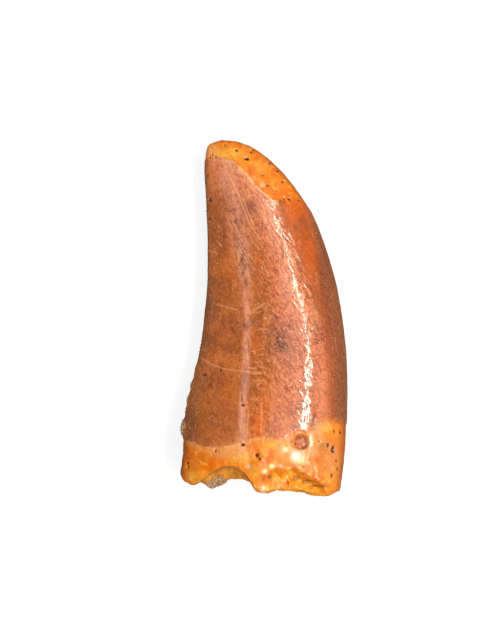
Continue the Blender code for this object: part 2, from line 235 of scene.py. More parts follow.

# Soft patches as x, y, half width, half height and strength: patches of colour, among them painted
# highlights (pale) and painted shade in the break's second hollow, then where pale specks crowd,
# which are partly specks of bare enamel and partly painted glints, where it is polished, where short
# wrinkles cross the groove and where cracks crowd. Specks and cracks are thinner elsewhere.
PATCHES = {
    "orange": [
        (-1.0, -15.4, 1.1, 2.6, 1.0), (0.0, -12.5, 0.9, 3.5, 0.6), (-0.9, -3.8, 0.8, 3.0, 0.5),
        (4.8, 14.6, 2.0, 2.2, 0.8), (6.4, 8.5, 1.0, 5.0, 0.5), (3.0, 17.0, 1.6, 0.9, 0.6),
        (-5.3, -11.5, 0.7, 3.0, 0.35), (-4.5, 8.0, 1.2, 3.5, 0.3), (-0.6, 6.0, 1.0, 4.0, 0.3),
        (3.4, -11.8, 2.2, 3.6, 0.6), (4.6, 11.0, 1.0, 2.0, 0.5),
    ],
    "yellow": [
        (2.9, -18.38, 0.8, 0.7, 0.9), (1.1, -20.78, 0.6, 0.45, 0.8), (0.1, -21.48, 0.45, 0.4, 0.8),
        (3.6, -21.08, 0.6, 0.35, 0.7), (0.0, -23.78, 0.7, 0.5, 0.8), (-3.2, -19.68, 2.0, 0.7, 0.6),
        (-1.2, -21.38, 0.7, 0.9, 0.5), (4.7, -19.68, 1.0, 0.8, 0.9), (6.7, -17.18, 0.3, 1.1, 0.8),
        (-4.8, 22.9, 2.4, 0.9, 0.6), (-0.3, 21.2, 1.2, 1.0, 0.4), (1.9, 18.9, 0.7, 1.2, 0.3),
        (1.5, -17.68, 1.6, 0.6, 0.55), (8.9, -15.68, 1.2, 0.8, 0.5), (9.5, -22.78, 1.2, 1.4, 0.4),
        (-9.5, -22.18, 1.2, 0.5, 0.4), (0.2, -18.38, 0.8, 0.9, 0.45),
    ],
    "pink": [
        (-3.3, -18.38, 1.3, 1.3, 0.9), (-5.8, -18.98, 1.7, 0.7, 0.7), (8.0, -17.58, 0.9, 1.2, 0.85),
        (8.7, -20.78, 0.7, 0.5, 0.5), (6.9, -18.88, 1.7, 0.9, 0.8), (-7.1, -18.28, 0.6, 0.4, 0.7),
        (7.2, -15.98, 1.6, 0.6, 0.7), (-7.2, 23.2, 1.0, 1.2, 0.7), (2.0, 21.6, 1.2, 0.8, 0.3),
        (9.4, -19.78, 1.6, 2.6, 0.5), (6.2, -20.98, 1.6, 0.8, 0.45), (3.6, -17.28, 0.8, 0.5, 0.6),
        (8.6, -18.08, 0.8, 0.6, 0.5), (7.4, -15.18, 1.8, 0.9, 0.9), (6.9, -1.0, 0.9, 2.2, 0.35),
        (-3.3, 9.5, 0.45, 2.4, 0.9), (8.0, -11.0, 0.7, 4.5, 0.3), (2.6, -18.68, 1.3, 1.1, 0.5),
        (-2.6, -16.38, 0.6, 1.6, 0.6),
    ],
    # brown: dark blotches, partly the fossil's own and partly painted shade where the groove and the
    # front margin turn from the light.
    "brown": [
        (-7.6, 1.5, 1.7, 2.6, 0.55), (-7.4, -3.2, 1.5, 1.4, 0.5), (-10.4, -15.2, 1.1, 2.4, 0.7),
        (-6.6, -14.8, 2.2, 2.6, 0.4), (8.6, 6.0, 1.0, 7.0, 0.5), (2.6, -4.2, 1.4, 1.0, 0.55),
        (-6.0, 11.0, 1.0, 6.0, 0.35), (10.5, -8.0, 1.0, 8.0, 0.3), (-0.8, 0.0, 0.8, 3.5, 0.4),
        (5.4, 13.6, 0.8, 1.2, 0.4), (8.8, -19.6, 2.0, 3.6, 0.5), (8.7, -21.0, 0.6, 0.45, 0.9),
        (9.3, 1.0, 0.9, 6.0, 0.35), (0.9, -16.0, 0.35, 1.4, 0.5), (4.3, -15.6, 0.6, 0.8, 0.4),
        (3.2, -12.8, 1.4, 3.2, 0.3), (-6.3, 4.6, 0.9, 0.8, 0.4), (-4.4, -4.8, 1.4, 1.2, 0.25),
        (-5.4, -1.0, 1.6, 2.6, 0.3),
    ],
    # pale: painted highlights, the white glints on the dentine of the base.
    "pale": [
        (4.6, -19.38, 0.8, 0.7, 1.0), (5.0, -19.98, 0.3, 0.4, 0.8), (6.6, -17.28, 0.22, 0.8, 0.8),
        (0.1, -21.48, 0.3, 0.25, 0.8), (0.0, -23.78, 0.4, 0.3, 0.8), (3.0, -18.48, 0.35, 0.3, 0.8),
        (1.1, -20.78, 0.3, 0.25, 0.7), (-2.1, -20.78, 0.25, 0.3, 0.6), (3.6, -21.08, 0.3, 0.2, 0.6),
        (4.2, -18.68, 0.25, 0.2, 0.6), (6.3, -20.38, 0.2, 0.2, 0.7), (2.4, -20.78, 0.2, 0.2, 0.5),
    ],
    "stain": [
        (-1.7, 15.0, 1.2, 1.1, 0.85), (-3.0, 7.8, 0.35, 0.95, 0.9), (-2.6, 6.9, 0.3, 0.6, 0.9),
        (-2.4, 4.8, 0.25, 0.7, 0.8), (-1.6, -0.7, 0.7, 0.35, 0.9), (-2.4, -1.6, 0.25, 0.5, 0.8),
        (2.6, -3.0, 1.3, 2.2, 0.75), (1.0, -2.2, 0.6, 0.8, 0.7), (3.8, -1.6, 1.4, 1.6, 0.5),
        (1.8, -4.6, 1.2, 1.0, 0.45), (3.6, -4.8, 1.0, 1.6, 0.45), (3.0, -6.6, 1.0, 1.2, 0.4),
        (-3.1, 13.3, 0.5, 0.6, 0.6), (8.2, -18.08, 0.55, 0.5, 0.8), (-2.5, -9.0, 0.2, 2.0, 0.4),
        (-3.6, 10.5, 0.4, 1.4, 0.5), (5.3, 13.4, 0.5, 0.5, 0.3), (4.6, 12.0, 0.5, 0.5, 0.5),
        (-0.3, 12.4, 0.6, 0.8, 0.4), (1.6, -1.2, 0.6, 1.0, 0.5),
    ],
    "olive": [
        (-9.6, -13.5, 1.6, 4.5, 0.8), (-8.6, -8.5, 0.9, 2.5, 0.5), (-8.2, 18.5, 0.5, 5.0, 0.8),
        (-7.9, 6.0, 0.5, 5.0, 0.7), (-8.3, -2.0, 0.6, 3.0, 0.6),
    ],
    # hollow_stain: painted shade in the recesses of the second hollow, over shallow dents.
    "hollow_stain": [
        (0.9, -22.38, 0.4, 0.35, 1.0), (4.7, -22.68, 0.7, 0.3, 0.9), (6.4, -23.08, 0.9, 0.28, 1.0),
        (8.1, -23.68, 0.9, 0.2, 1.0), (3.4, -23.08, 0.4, 0.22, 0.7), (-0.1, -22.38, 0.3, 0.5, 0.4),
        (2.4, -22.18, 0.3, 0.2, 0.5), (5.6, -21.88, 0.5, 0.16, 0.5),
    ],
    "crater": [
        (5.3, -17.43, 1.12, 1.12, 1.0),
    ],
    # specked: where pale specks crowd, which stand partly for painted glints.
    "specked": [
        (-0.8, 8.0, 1.6, 4.5, 1.0), (1.0, 2.0, 1.0, 4.0, 1.0), (-6.0, 9.0, 1.8, 5.0, 0.7),
        (-9.2, -10.0, 1.0, 3.0, 0.8), (0.6, -5.0, 1.2, 3.5, 0.7), (-0.8, 13.0, 1.0, 2.5, 0.6),
        (-5.0, -8.0, 3.0, 4.0, 0.4), (4.5, 0.0, 1.5, 6.0, 0.5), (-7.0, 16.0, 0.8, 3.0, 0.6),
    ],
    "polished": [
        (6.2, -12.0, 2.2, 4.6, 0.85), (6.2, -5.0, 1.8, 2.5, 0.4), (3.9, 4.4, 1.6, 2.2, 0.9),
        (1.0, 12.5, 2.5, 3.0, 0.4),
    ],
    "rippled": [
        (-0.9, -6.4, 1.1, 2.6, 1.0), (-0.4, -1.0, 0.8, 1.2, 0.5), (1.0, -3.0, 0.8, 2.0, 0.4),
    ],
    "cracked": [
        (5.4, -10.0, 2.2, 5.5, 0.8), (2.4, -3.0, 1.6, 3.0, 0.9), (7.6, -3.0, 1.6, 3.0, 0.7),
        (-3.0, 8.0, 0.9, 4.0, 0.8), (-3.6, 14.0, 1.2, 3.0, 0.6), (-2.6, -1.0, 0.6, 3.0, 0.6),
        (4.4, 4.0, 2.0, 3.0, 0.5), (2.0, 9.0, 1.8, 3.0, 0.4), (6.0, -14.0, 1.6, 1.6, 0.9),
    ],
}
SPECKED_ELSEWHERE = 0.06
CRACKED_ELSEWHERE = 0.25

# Lumps and dents as x, y, radius and height.
UPPER_MARKS = [
    (5.3, -17.43, 1.05, -0.55), (5.05, -17.18, 0.35, 0.2), (5.6, -17.63, 0.3, 0.18),
    (-0.85, -20.68, 0.95, 0.4), (9.6, -18.68, 0.6, -0.28), (8.9, -17.88, 0.5, -0.18),
    (-0.9, -19.28, 0.5, -0.20), (1.0, -20.68, 0.6, 0.15), (8.7, -20.68, 0.9, -0.15),
    (-8.2, -21.78, 0.7, -0.30), (4.0, -19.48, 1.1, 0.25),
]
LOWER_MARKS = [
    (2.0, -20.3, 1.3, -0.30), (-6.8, -19.6, 0.9, -0.25), (8.2, -19.0, 1.1, -0.30),
    (-5.5, 6.0, 1.2, -0.12),
]

# Crumbs of sandstone on the keel and the lump in the break, as x, y, z, radius and height.
KEEL_CRUMBS = [
    (-11.5, -15.6, 5.6, 1.25, 0.42), (-11.2, -13.2, 5.4, 0.8, 0.16), (-10.7, -11.7, 5.4, 0.8, 0.16),
    (-10.2, -9.6, 5.2, 0.7, 0.14), (-9.6, -7.6, 5.1, 0.7, 0.10),
]
BREAK_LUMP = (-6.6, -23.0, 4.0, 1.8, 0.95)

# Pores and pits, as x, y, half width and half height.
TIP_PORES = [
    (-5.5, 24.3, 0.13, 0.12), (-3.8, 23.5, 0.20, 0.16), (-1.7, 23.3, 0.17, 0.22),
    (-1.4, 23.6, 0.20, 0.12), (-2.35, 22.2, 0.32, 0.24), (-7.3, 22.9, 0.12, 0.14),
    (-7.6, 22.5, 0.12, 0.14), (-6.8, 22.6, 0.15, 0.10), (1.0, 21.75, 0.22, 0.15),
    (2.1, 20.6, 0.22, 0.15), (-0.15, 19.9, 0.15, 0.16), (2.8, 19.05, 0.20, 0.18),
    (0.55, 18.35, 0.17, 0.19), (1.85, 17.65, 0.10, 0.11), (3.5, 17.2, 0.14, 0.12),
    (2.95, 16.55, 0.14, 0.16), (3.65, 16.5, 0.21, 0.17), (5.1, 16.4, 0.18, 0.13),
]
BASE_PITS = [
    (-2.95, -17.78, 0.28, 0.22), (-6.8, -18.68, 0.12, 0.26), (-0.95, -19.23, 0.26, 0.30),
    (-0.55, -19.73, 0.15, 0.22), (-10.8, -20.53, 0.13, 0.24), (-10.75, -21.08, 0.12, 0.15),
    (10.0, -16.03, 0.12, 0.30), (10.85, -16.28, 0.16, 0.22), (9.15, -17.98, 0.17, 0.34),
    (9.87, -18.43, 0.17, 0.45), (9.93, -18.83, 0.30, 0.24), (10.3, -20.23, 0.15, 0.20),
    (10.45, -21.38, 0.13, 0.18), (9.67, -22.23, 0.14, 0.36), (5.6, -20.93, 0.20, 0.12),
    (3.9, -17.38, 0.17, 0.12), (3.0, -17.88, 0.14, 0.1), (7.75, -17.38, 0.2, 0.12),
]
ENAMEL_SPOTS = [
    (-7.8, 19.9, 0.12, 0.22), (-7.5, 16.45, 0.20, 0.26), (-7.65, 13.8, 0.15, 0.18),
    (-2.98, -12.3, 0.22, 0.18), (-9.05, -3.7, 0.20, 0.26), (-8.3, -8.2, 0.24, 0.16),
    (-6.05, -7.5, 0.18, 0.16),
]
PORE_DEPTH = 0.24
CRATER_RIM = (5.3, -17.43, 1.2, 0.22, 0.07)     # x, y, radius, width and height

# Soft edges as where they start and end, along X or up Y in millimetres, or as a share of the
# width from the keel to the front edge. The relief is finest and flattest in the calm part.
FLANK = 0.3                 # the relief fades out where the side turns away
RIM_START = (-8.0, -2.5)
RIM_END = (1.0, 3.0)
# The reach of the painted highlight along the worn tip's enamel edge.
RIM_HIGHLIGHT_REACH = 0.25
FRONT_START = (0.42, 0.6)
BACK_WRINKLES = 0.25        # how strong the wrinkles are behind the front part
LINE_MEAN = 0.4
STRIAE_HALF_WIDTH = 2.4
STRIAE_START = (-3.0, 6.0)
RIPPLES_HALF_WIDTH = 1.1
RIPPLES_END = (0.0, 5.0)
CALM_EDGE = (1.9, 3.2)
CALM_START = (2.0, 8.0)
CALMING = 0.85
FRETS_HALF_WIDTH = 1.9
FRETS_START = (-9.0, -4.0)
LOW_FRETS = 0.5             # how strong the frets are below their start
STREAK_START = (-4.0, 4.0)
WORN_END = (-6.0, 0.0)
PORE_WALL = (-0.12, 0.1)
ROSE_START = (-0.8, 1.4)
ROSE_END = (-1.8, 0.6)
RIDGE_TONE_START = (-6.0, 8.0)
LOW_RIDGE_TONE = 0.58
LUMP_END = (-22.9, -22.5)
SANDY_SIDE = (-2.0, 1.5)    # the sediment in the pulp cavity is sandy beyond this
SANDY_EDGE = (0.6, 0.9)
ARCH_END = -1.2
LIP_SHADE = 0.3             # how dark the arch's lip is, where and how unevenly
LIP_SHADE_MOST = 0.7
LIP_SHADE_OFFSET = 0.25
LIP_SHADE_HALF_WIDTH = 0.35
HOLLOW_DENT_DEPTH = 0.3
TIP_WAX = 0.35              # how waxy the worn tip is beside the base
FULL_CRUMB = 0.25           # a crumb as high as this is all sand
BEYOND = 3.0                # distances for the parts that lie beyond the crown's own surface
FAR = 9.0

# The noise: how fast its finer lumps fade and shrink. Layers of lumps are given as height, size and
# place in the noise, and fine lines as slant in degrees, length, width and sharpness.
FRACTAL = (0.9, 2.1)
EDGE_WAVES = [(0.22, 1.1, 0.0), (0.1, 0.4, 7.0)]
ENAMEL_WAVES = [(0.03, 1.9, 0.0)]
ENAMEL_GRAIN = 0.007
WORN_GRAIN = 0.006
GRAIN_SIZE = 0.6
DENTINE_WAX = [(0.1, 1.5, 0.0), (0.03, 0.5, 0.0)]
CRATER_LUMPS = [(0.16, 0.5, 0.0)]
HOLLOW_LUMPS = [(0.3, 1.0, 0.0), (0.12, 0.4, 0.0)]
CRUMB_LUMPS = [(0.5, 0.5, 0.0)]
PULP_SAND = [(1.0, 2.4, 0.0)]
LIP_SHADE_LUMPS = [(0.5, 1.2, 0.0)]
CRACK_BENDS = [(0.12, 0.5, 3.0)]
PULP_EDGE_WAVES = [(0.16, 1.6, 9.0)]
BREAK_LUMPS = [(0.35, 2.2, 0.0), (0.16, 0.8, 5.0), (0.07, 0.33, 0.0)]
WRINKLES = (-58, 1.8, 0.7, 0.25)
STRIAE = (-74, 3.0, 0.6, 0.22)
RIPPLES = (4, 1.6, 0.55, 0.2)
FRETS = (-44, 0.9, 0.36, 0.3)


def smooth_step(low, high, value):
    """0 below low, 1 above high, and a smooth rise between them."""
    share = np.clip((value - low) / (high - low), 0.0, 1.0)
    return share * share * (3.0 - 2.0 * share)


def fading(low, high, value, drop=1.0):
    """1 below low, and less by drop above high."""
    return 1 - drop * smooth_step(low, high, value)


def hump(offset, half_width):
    """1 where the offset is 0, with a soft fall to both sides."""
    return np.exp(-((offset / half_width) ** 2))


def at_least(low, share):
    """A share from 0 to 1, raised so that it starts at low."""
    return low + (1 - low) * share


def line_through(points, at):
    """The second coordinate of a smooth line through points, where its first one is at."""
    xs = np.array([point[0] for point in points])
    ys = np.array([point[1] for point in points])
    slopes = np.gradient(ys, xs)
    at = np.clip(at, xs[0], xs[-1])
    i = np.clip(np.searchsorted(xs, at) - 1, 0, len(xs) - 2)
    step = xs[i + 1] - xs[i]
    u = (at - xs[i]) / step
    start = ys[i] * (2 * u**3 - 3 * u**2 + 1) + slopes[i] * step * (u**3 - 2 * u**2 + u)
    return start + ys[i + 1] * (3 * u**2 - 2 * u**3) + slopes[i + 1] * step * (u**3 - u**2)


def line_up(points, y):
    """The x of a line that climbs the crown through points, at the height y."""
    return line_through([(point[1], point[0]) for point in points], y)


def section_at(place):
    """The cross-section at place: 0 is the base, and each whole number one section higher."""
    x, y, z = TIP
    keel_x, keel_y, front_x, front_y, thickness, middle, power = SECTIONS[-1]
    beyond = (front_x, front_y, keel_x, keel_y, -thickness, middle, power)
    rows = np.array([SECTIONS[0]] + SECTIONS + [(x, y, x, y, 0.0, z, UPPER_EDGE_POWER), beyond])
    rows[0] = 2 * rows[1] - rows[2]
    i = min(int(place), len(SECTIONS) - 1)
    u = place - i
    before, start, end, after = rows[i : i + 4]
    curve = 2 * start + (end - before) * u
    curve = curve + (2 * before - 5 * start + 4 * end - after) * u**2
    return (curve + (3 * start - before - 3 * end + after) * u**3) / 2


def bulge(share, keel_power, edge_power):
    """How high the side bulges at share of the width, 0 at the keel and 1 at the front edge."""
    peak = keel_power / (keel_power + edge_power)
    top = peak**keel_power * (1 - peak) ** edge_power
    return share**keel_power * (1 - share) ** edge_power / top


def even_angles(start, columns):
    """Angles over half a turn that divide the side of the crown into strips of like width."""
    fine = np.linspace(start, start + math.pi, 2000)
    x, z = 2 * np.cos(fine), np.sin(fine)
    length = np.concatenate([[0.0], np.cumsum(np.hypot(np.diff(x), np.diff(z)))])
    return np.interp(np.linspace(0, length[-1], columns, endpoint=False), length, fine)


def ring_places():
    """Where the rings lie, at even steps up the middle of the crown."""
    fine = np.linspace(0, len(SECTIONS) - TIP_GAP, 1500)
    middle = np.array([section_at(place)[:4].reshape(2, 2).mean(axis=0) for place in fine])
    steps = np.linalg.norm(np.diff(middle, axis=0), axis=1)
    length = np.concatenate([[0.0], np.cumsum(steps)])
    return np.interp(np.arange(0, length[-1], RING_STEP), length, fine)


def base_line(x):
    """The height of the first section's chord at x."""
    keel_x, keel_y, front_x, front_y = SECTIONS[0][:4]
    return keel_y + (front_y - keel_y) * (x - keel_x) / (front_x - keel_x)


def break_height(x, share, angles):
    """Where the break lies along Y: share is 1 at the wall and 0 in the middle."""
    across = np.sqrt(1 + BREAK_SOFTNESS - (share * np.cos(angles)) ** 2)
    level = share * np.sin(angles) / across
    upper = smooth_step(-1.0, 1.0, level)
    return line_through(UPPER_BREAK, x) * upper + line_through(LOWER_BREAK, x) * (1 - upper)


def ring_at(place, angles):
    """One ring of points round the crown, before any relief."""
    keel_x, keel_y, front_x, front_y, thickness, middle, power = section_at(place)
    share = (1 + np.cos(angles)) / 2
    x = keel_x + (front_x - keel_x) * share
    y = keel_y + (front_y - keel_y) * share
    above = bulge(share, power, UPPER_EDGE_POWER)
    below = bulge(share, power * LOWER_KEEL_SHARE, LOWER_EDGE_POWER)
    side = np.where(np.sin(angles) >= 0, above, -below)
    z = middle + BASE_THICKNESS / 2 * thickness * side
    bend = np.clip(1 - (y - base_line(x)) / BREAK_REACH, 0, 1) ** 2
    y = y + (break_height(x, 1.0, angles) - base_line(x)) * bend
    return np.stack([x, y, z], axis=-1)


def outward(rings):
    """The outward direction at each point of the rings."""
    along = np.gradient(rings, axis=0)
    across = np.roll(rings, -1, axis=1) - np.roll(rings, 1, axis=1)
    normal = np.cross(along, across)
    return normal / np.linalg.norm(normal, axis=-1, keepdims=True)


def mark(x, y, at_x, at_y, radius, height):
    """A round lump, or a pit where height is below zero."""
    away = ((x - at_x) ** 2 + (y - at_y) ** 2) / radius**2
    return height * np.exp(-(away**1.5))


def rough(points, size, octaves=3):
    """Random lumps between about -1 and 1, of the given size along x, y and z."""
    flat = (points / size).reshape(-1, 3)
    values = [noise.fractal(Vector(p), *FRACTAL, octaves) for p in flat.tolist()]
    return np.array(values).reshape(points.shape[:-1])


def lumps(points, layers):
    """Random relief from layers of lumps, as height, size and place in the noise."""
    return sum(height * rough(points + shift, size) for height, size, shift in layers)


def strokes(points, slant, length, width, sharpness):
    """Fine lines that run at a slant over the side: 1 on a line and 0 between them."""
    cosine, sine = math.cos(math.radians(slant)), math.sin(math.radians(slant))
    along = points[..., 0] * cosine + points[..., 1] * sine
    across = points[..., 1] * cosine - points[..., 0] * sine
    turned = np.stack([along / length, across / width, points[..., 2] / length], axis=-1)
    return hump(rough(turned, 1.0, 2), sharpness)


def second_hollow(x, y):
    """0 outside the second hollow of the break and 1 where it is deepest."""
    below = line_through(HOLLOW_EDGE, x) - y
    ends = smooth_step(0.0, HOLLOW_ENDS, x - HOLLOW_EDGE[0][0])
    ends = ends * smooth_step(0.0, HOLLOW_ENDS, HOLLOW_EDGE[-1][0] - x)
    rise = (1 - HOLLOW_LIP) * smooth_step(*HOLLOW_FLOOR, below)
    return ends * (smooth_step(*HOLLOW_WALL, below) - rise)


def beyond_spots(x, y, spots):
    """How far each point lies outside the nearest of the oval spots, and below 0 inside it."""
    nearest = np.full(x.shape, FAR)
    for at_x, at_y, half_width, half_height in spots:
        outside = np.hypot((x - at_x) / half_width, (y - at_y) / half_height) - 1
        nearest = np.minimum(nearest, outside * min(half_width, half_height))
    return nearest


def patches(x, y, spots):
    """Soft oval patches, each as strong in its middle as its last number says."""
    strongest = np.zeros(x.shape)
    for at_x, at_y, half_width, half_height, strength in spots:
        away = ((x - at_x) / half_width) ** 2 + ((y - at_y) / half_height) ** 2
        strongest = np.maximum(strongest, strength * np.exp(-away))
    return strongest


def thin_lines(x, y, lines, half_width):
    """1 along each of the lines, which are lists of points, and 0 away from them."""
    nearest = np.full(x.shape, FAR)
    for line in lines:
        for (x1, y1), (x2, y2) in zip(line, line[1:]):
            run_x, run_y = x2 - x1, y2 - y1
            along = ((x - x1) * run_x + (y - y1) * run_y) / (run_x**2 + run_y**2)
            along = np.clip(along, 0, 1)
            nearest = np.minimum(nearest, np.hypot(x - x1 - along * run_x, y - y1 - along * run_y))
    return hump(nearest, half_width)


angles = np.concatenate([even_angles(0.0, UPPER_COLUMNS), even_angles(math.pi, LOWER_COLUMNS)])
form = np.array([ring_at(place, angles) for place in ring_places()])
x, y = form[..., 0], form[..., 1]
side = np.sin(angles)
is_upper = np.broadcast_to(side >= 0, x.shape)
flank = smooth_step(0.0, FLANK, np.abs(side))
share = np.broadcast_to((1 + np.cos(angles)) / 2, x.shape)
spread = {label: patches(x, y, spots) * is_upper for label, spots in PATCHES.items()}
spread["specked"] = spread["specked"] + SPECKED_ELSEWHERE
spread["cracked"] = spread["cracked"] + CRACKED_ELSEWHERE

# Distances in millimetres: above the neck line, past the edge of the worn tip, beyond a pore, and
# across from the ridge and the crest.
wavy = lumps(form, EDGE_WAVES)
neck = np.where(is_upper, line_through(UPPER_NECK, x), line_through(LOWER_NECK, x))
above_neck = (y + wavy - neck) * (1 - NECK_BLUR * smooth_step(*NECK_BLUR_REACH, x) * is_upper)
past_wear = y + WEAR_WAVES * wavy - line_through(TIP_WEAR, x)
past_wear = past_wear * fading(*WEAR_BLUR_REACH, x, WEAR_BLUR)
beyond_pore = np.where(is_upper, beyond_spots(x, y, TIP_PORES + BASE_PITS + ENAMEL_SPOTS), FAR)
ridge_offset = x - line_up(RIDGE, y)
crest_offset = x - line_up(CREST, y)
streak_offset = crest_offset - STREAK_OFFSET
enamel = smooth_step(-STEP_REACH, STEP_REACH, above_neck)
enamel = enamel * fading(-STEP_REACH, STEP_REACH, past_wear)
bare = 1 - enamel
hollow = second_hollow(x, y) * is_upper

# Relief of the upper side: the ridge and groove, the crest near the tip, dents and lumps.
relief = line_up(RIDGE_STRENGTH, y) * line_through(RIDGE_PROFILE, ridge_offset)
relief += line_up(CREST_HEIGHT, y) * thin_lines(x, y, [CREST], CREST_HALF_WIDTH)
relief += sum(mark(x, y, *spot) for spot in UPPER_MARKS) - HOLLOW_DEPTH * hollow
crater_x, crater_y, radius, width, height = CRATER_RIM
relief += height * hump(np.hypot(x - crater_x, y - crater_y) - radius, width)
relief = np.where(is_upper, relief, sum(mark(x, y, *spot) for spot in LOWER_MARKS)) * flank

# Fine relief: the enamel's edge, wrinkles that slant across the front, striae along the ridge,
# ripples across the groove, scratches, cracks, frets in the streak and waxy lumps on the dentine.
rim_part = smooth_step(*RIM_START, x) * fading(*RIM_END, x) * is_upper
relief += RIM_HEIGHT * rim_part * hump(past_wear + RIM_WIDTH, RIM_WIDTH) - ENAMEL_STEP * bare
front_part = smooth_step(*FRONT_START, share)
ridge_part = hump(ridge_offset, STRIAE_HALF_WIDTH) * smooth_step(*STRIAE_START, y)
groove_part = hump(ridge_offset - GROOVE_OFFSET, RIPPLES_HALF_WIDTH) * fading(*RIPPLES_END, y)
wrinkles = strokes(form, *WRINKLES) * at_least(BACK_WRINKLES, front_part)
striae = strokes(form, *STRIAE) * ridge_part * is_upper
ripples = strokes(form, *RIPPLES) * groove_part * is_upper
calm = smooth_step(*CALM_EDGE, crest_offset) * smooth_step(*CALM_START, y)
lines = np.maximum(np.maximum(wrinkles, striae), ripples) * enamel * (1 - CALMING * calm)
scratches = thin_lines(x, y, SCRATCHES, SCRATCH_HALF_WIDTH) * is_upper
cracks = thin_lines(x + lumps(form, CRACK_BENDS), y, CRACKS, CRACK_HALF_WIDTH) * is_upper
relief += LINE_HEIGHT * (lines - LINE_MEAN * enamel) + SCRATCH_HEIGHT * (scratches - cracks)
near_streak = hump(streak_offset, FRETS_HALF_WIDTH) * is_upper * enamel
near_streak = near_streak * at_least(LOW_FRETS, smooth_step(*FRETS_START, y))
relief += FRET_HEIGHT * strokes(form, *FRETS) * near_streak
grain_height = ENAMEL_GRAIN + WORN_GRAIN * front_part * fading(*WORN_END, y)
relief += enamel * (lumps(form, ENAMEL_WAVES) + grain_height * rough(form, GRAIN_SIZE))
relief += bare * np.where(y > 0, TIP_WAX, 1.0) * lumps(form, DENTINE_WAX)
relief += spread["crater"] * lumps(form, CRATER_LUMPS) + hollow * lumps(form, HOLLOW_LUMPS)
relief -= HOLLOW_DENT_DEPTH * spread["hollow_stain"] + PORE_DEPTH * fading(*PORE_WALL, beyond_pore)

# Crumbs of sandstone on the keel.
sand = np.zeros(x.shape)
for crumb_x, crumb_y, crumb_z, radius, height in KEEL_CRUMBS:
    away = np.linalg.norm(form - (crumb_x, crumb_y, crumb_z), axis=-1) / radius
    relief += height * np.exp(-(away**3)) * (1 + lumps(form, CRUMB_LUMPS))
    sand = np.maximum(sand, np.exp(-(away**3)) * min(1.0, height / FULL_CRUMB))
crown = form + outward(form) * relief[..., None]


def break_surface(rim):
    """Rings that close the broken base, from the rim inwards, and how deep in the pulp each is."""
    middle = np.array(BREAK_MIDDLE)
    offset = rim[:, 1] - break_height(rim[:, 0], 1.0, angles)
    rings, pulp = [], []
    for inwards in np.linspace(0, 1, BREAK_RINGS + 2)[1:-1]:
        share = 1 - inwards
        ring = middle + (rim - middle) * share
        flat = ring * (1, 0, 1)
        ragged = lumps(flat, PULP_EDGE_WAVES) * min(1, 4 * inwards)
        inside = smooth_step(*PULP_WALL, np.full(len(angles), inwards) + ragged)
        edge = smooth_step(0.0, LIP, inwards)
        ring[:, 1] = break_height(ring[:, 0], share, angles) + offset * share**4
        ring[:, 1] += PULP_DEPTH * inside - BREAK_FULLNESS * edge * (1 - inside)
        ring[:, 1] += edge * lumps(flat, BREAK_LUMPS)
        rings.append(ring)
        pulp.append(inside)
    return np.array(rings), np.array(pulp)


def hang_lump(points):
    """The points with the lump of sandstone pulled out of the break, and how much is lump."""
    at_x, at_y, at_z, radius, reach = BREAK_LUMP
    away = np.linalg.norm(points - (at_x, at_y, at_z), axis=-1) / radius
    pulled = points.copy()
    pulled[..., 1] -= reach * np.exp(-(away**4))
    return pulled, np.exp(-(away**4))


broken, pulp = break_surface(crown[0])
sandy = lumps(broken, PULP_SAND) + smooth_step(*SANDY_SIDE, broken[..., 0])
pulp_sand = pulp * smooth_step(*SANDY_EDGE, sandy)
tip_ring = np.tile(np.array(TIP), (1, len(angles), 1))
rings, lump = hang_lump(np.concatenate([broken[::-1], crown, tip_ring]))
sandy_lump = lump * fading(*LUMP_END, rings[..., 1])
# Painted shade under the arch's lip, which the break's rings carry with the hollow's painted shade.
below_lip = line_through(UPPER_BREAK, broken[..., 0]) - broken[..., 1]
under_lip = hump(below_lip - LIP_SHADE_OFFSET, LIP_SHADE_HALF_WIDTH) * (broken[..., 0] < ARCH_END)
under_lip = under_lip * np.clip(LIP_SHADE + lumps(broken, LIP_SHADE_LUMPS), 0.0, LIP_SHADE_MOST)
low, high = rings.min(axis=(0, 1)), rings.max(axis=(0, 1))
centre = (low + high) / 2
rings = rings - (centre[0], centre[1], low[2] + FLAT_SPOT_DEPTH)
rings[..., 2] = np.maximum(rings[..., 2], 0.0)


def whole(crown_values, break_value=0.0, tip_value=0.0):
    """A value for each point of the closed surface, from the crown's own values."""
    inner = np.broadcast_to(break_value, broken.shape[:2])[::-1]
    return np.concatenate([inner, crown_values, np.full((1, len(angles)), tip_value)])


# The rosy tone: partly the enamel's own salmon, partly painted sheen where the side faces the soft
# light.
rose = smooth_step(*ROSE_START, x - line_up(ROSE_LEFT, y))
rose = rose * fading(*ROSE_END, x - line_up(ROSE_RIGHT, y))
# The ridge's pale pink band, partly painted sheen on its crest.
ridge_tone = hump(ridge_offset, line_up(RIDGE_TONE, y)) * is_upper
ridge_tone = ridge_tone * at_least(LOW_RIDGE_TONE, smooth_step(*RIDGE_TONE_START, y))
# The band of the gloss streak, which the colour paints paler: a painted highlight.
streak = hump(streak_offset, STREAK_HALF_WIDTH) * smooth_step(*STREAK_START, y) * is_upper
spread.update({
    "rose": rose, "ridge_tone": ridge_tone, "streak": streak, "calm": calm, "lines": lines,
    # rim: a painted highlight along the worn tip's enamel edge.
    "scratches": scratches, "cracks": cracks, "rim": rim_part * hump(past_wear + RIM_HIGHLIGHT_REACH, RIM_HIGHLIGHT_REACH),
})
marks = {label: whole(value) for label, value in spread.items()}
marks["hollow_stain"] = whole(spread["hollow_stain"], under_lip)
marks["broken"] = whole(hollow, 1.0)
marks["pulp"] = whole(np.zeros(x.shape), pulp)
marks["sand"] = np.maximum(whole(sand, pulp_sand), sandy_lump)
marks["share"] = whole(share, 0.5, 0.5)
marks["above_neck"] = whole(above_neck, -BEYOND, BEYOND)
marks["past_wear"] = whole(past_wear, -BEYOND, BEYOND)
marks["beyond_pore"] = whole(beyond_pore, FAR, FAR)


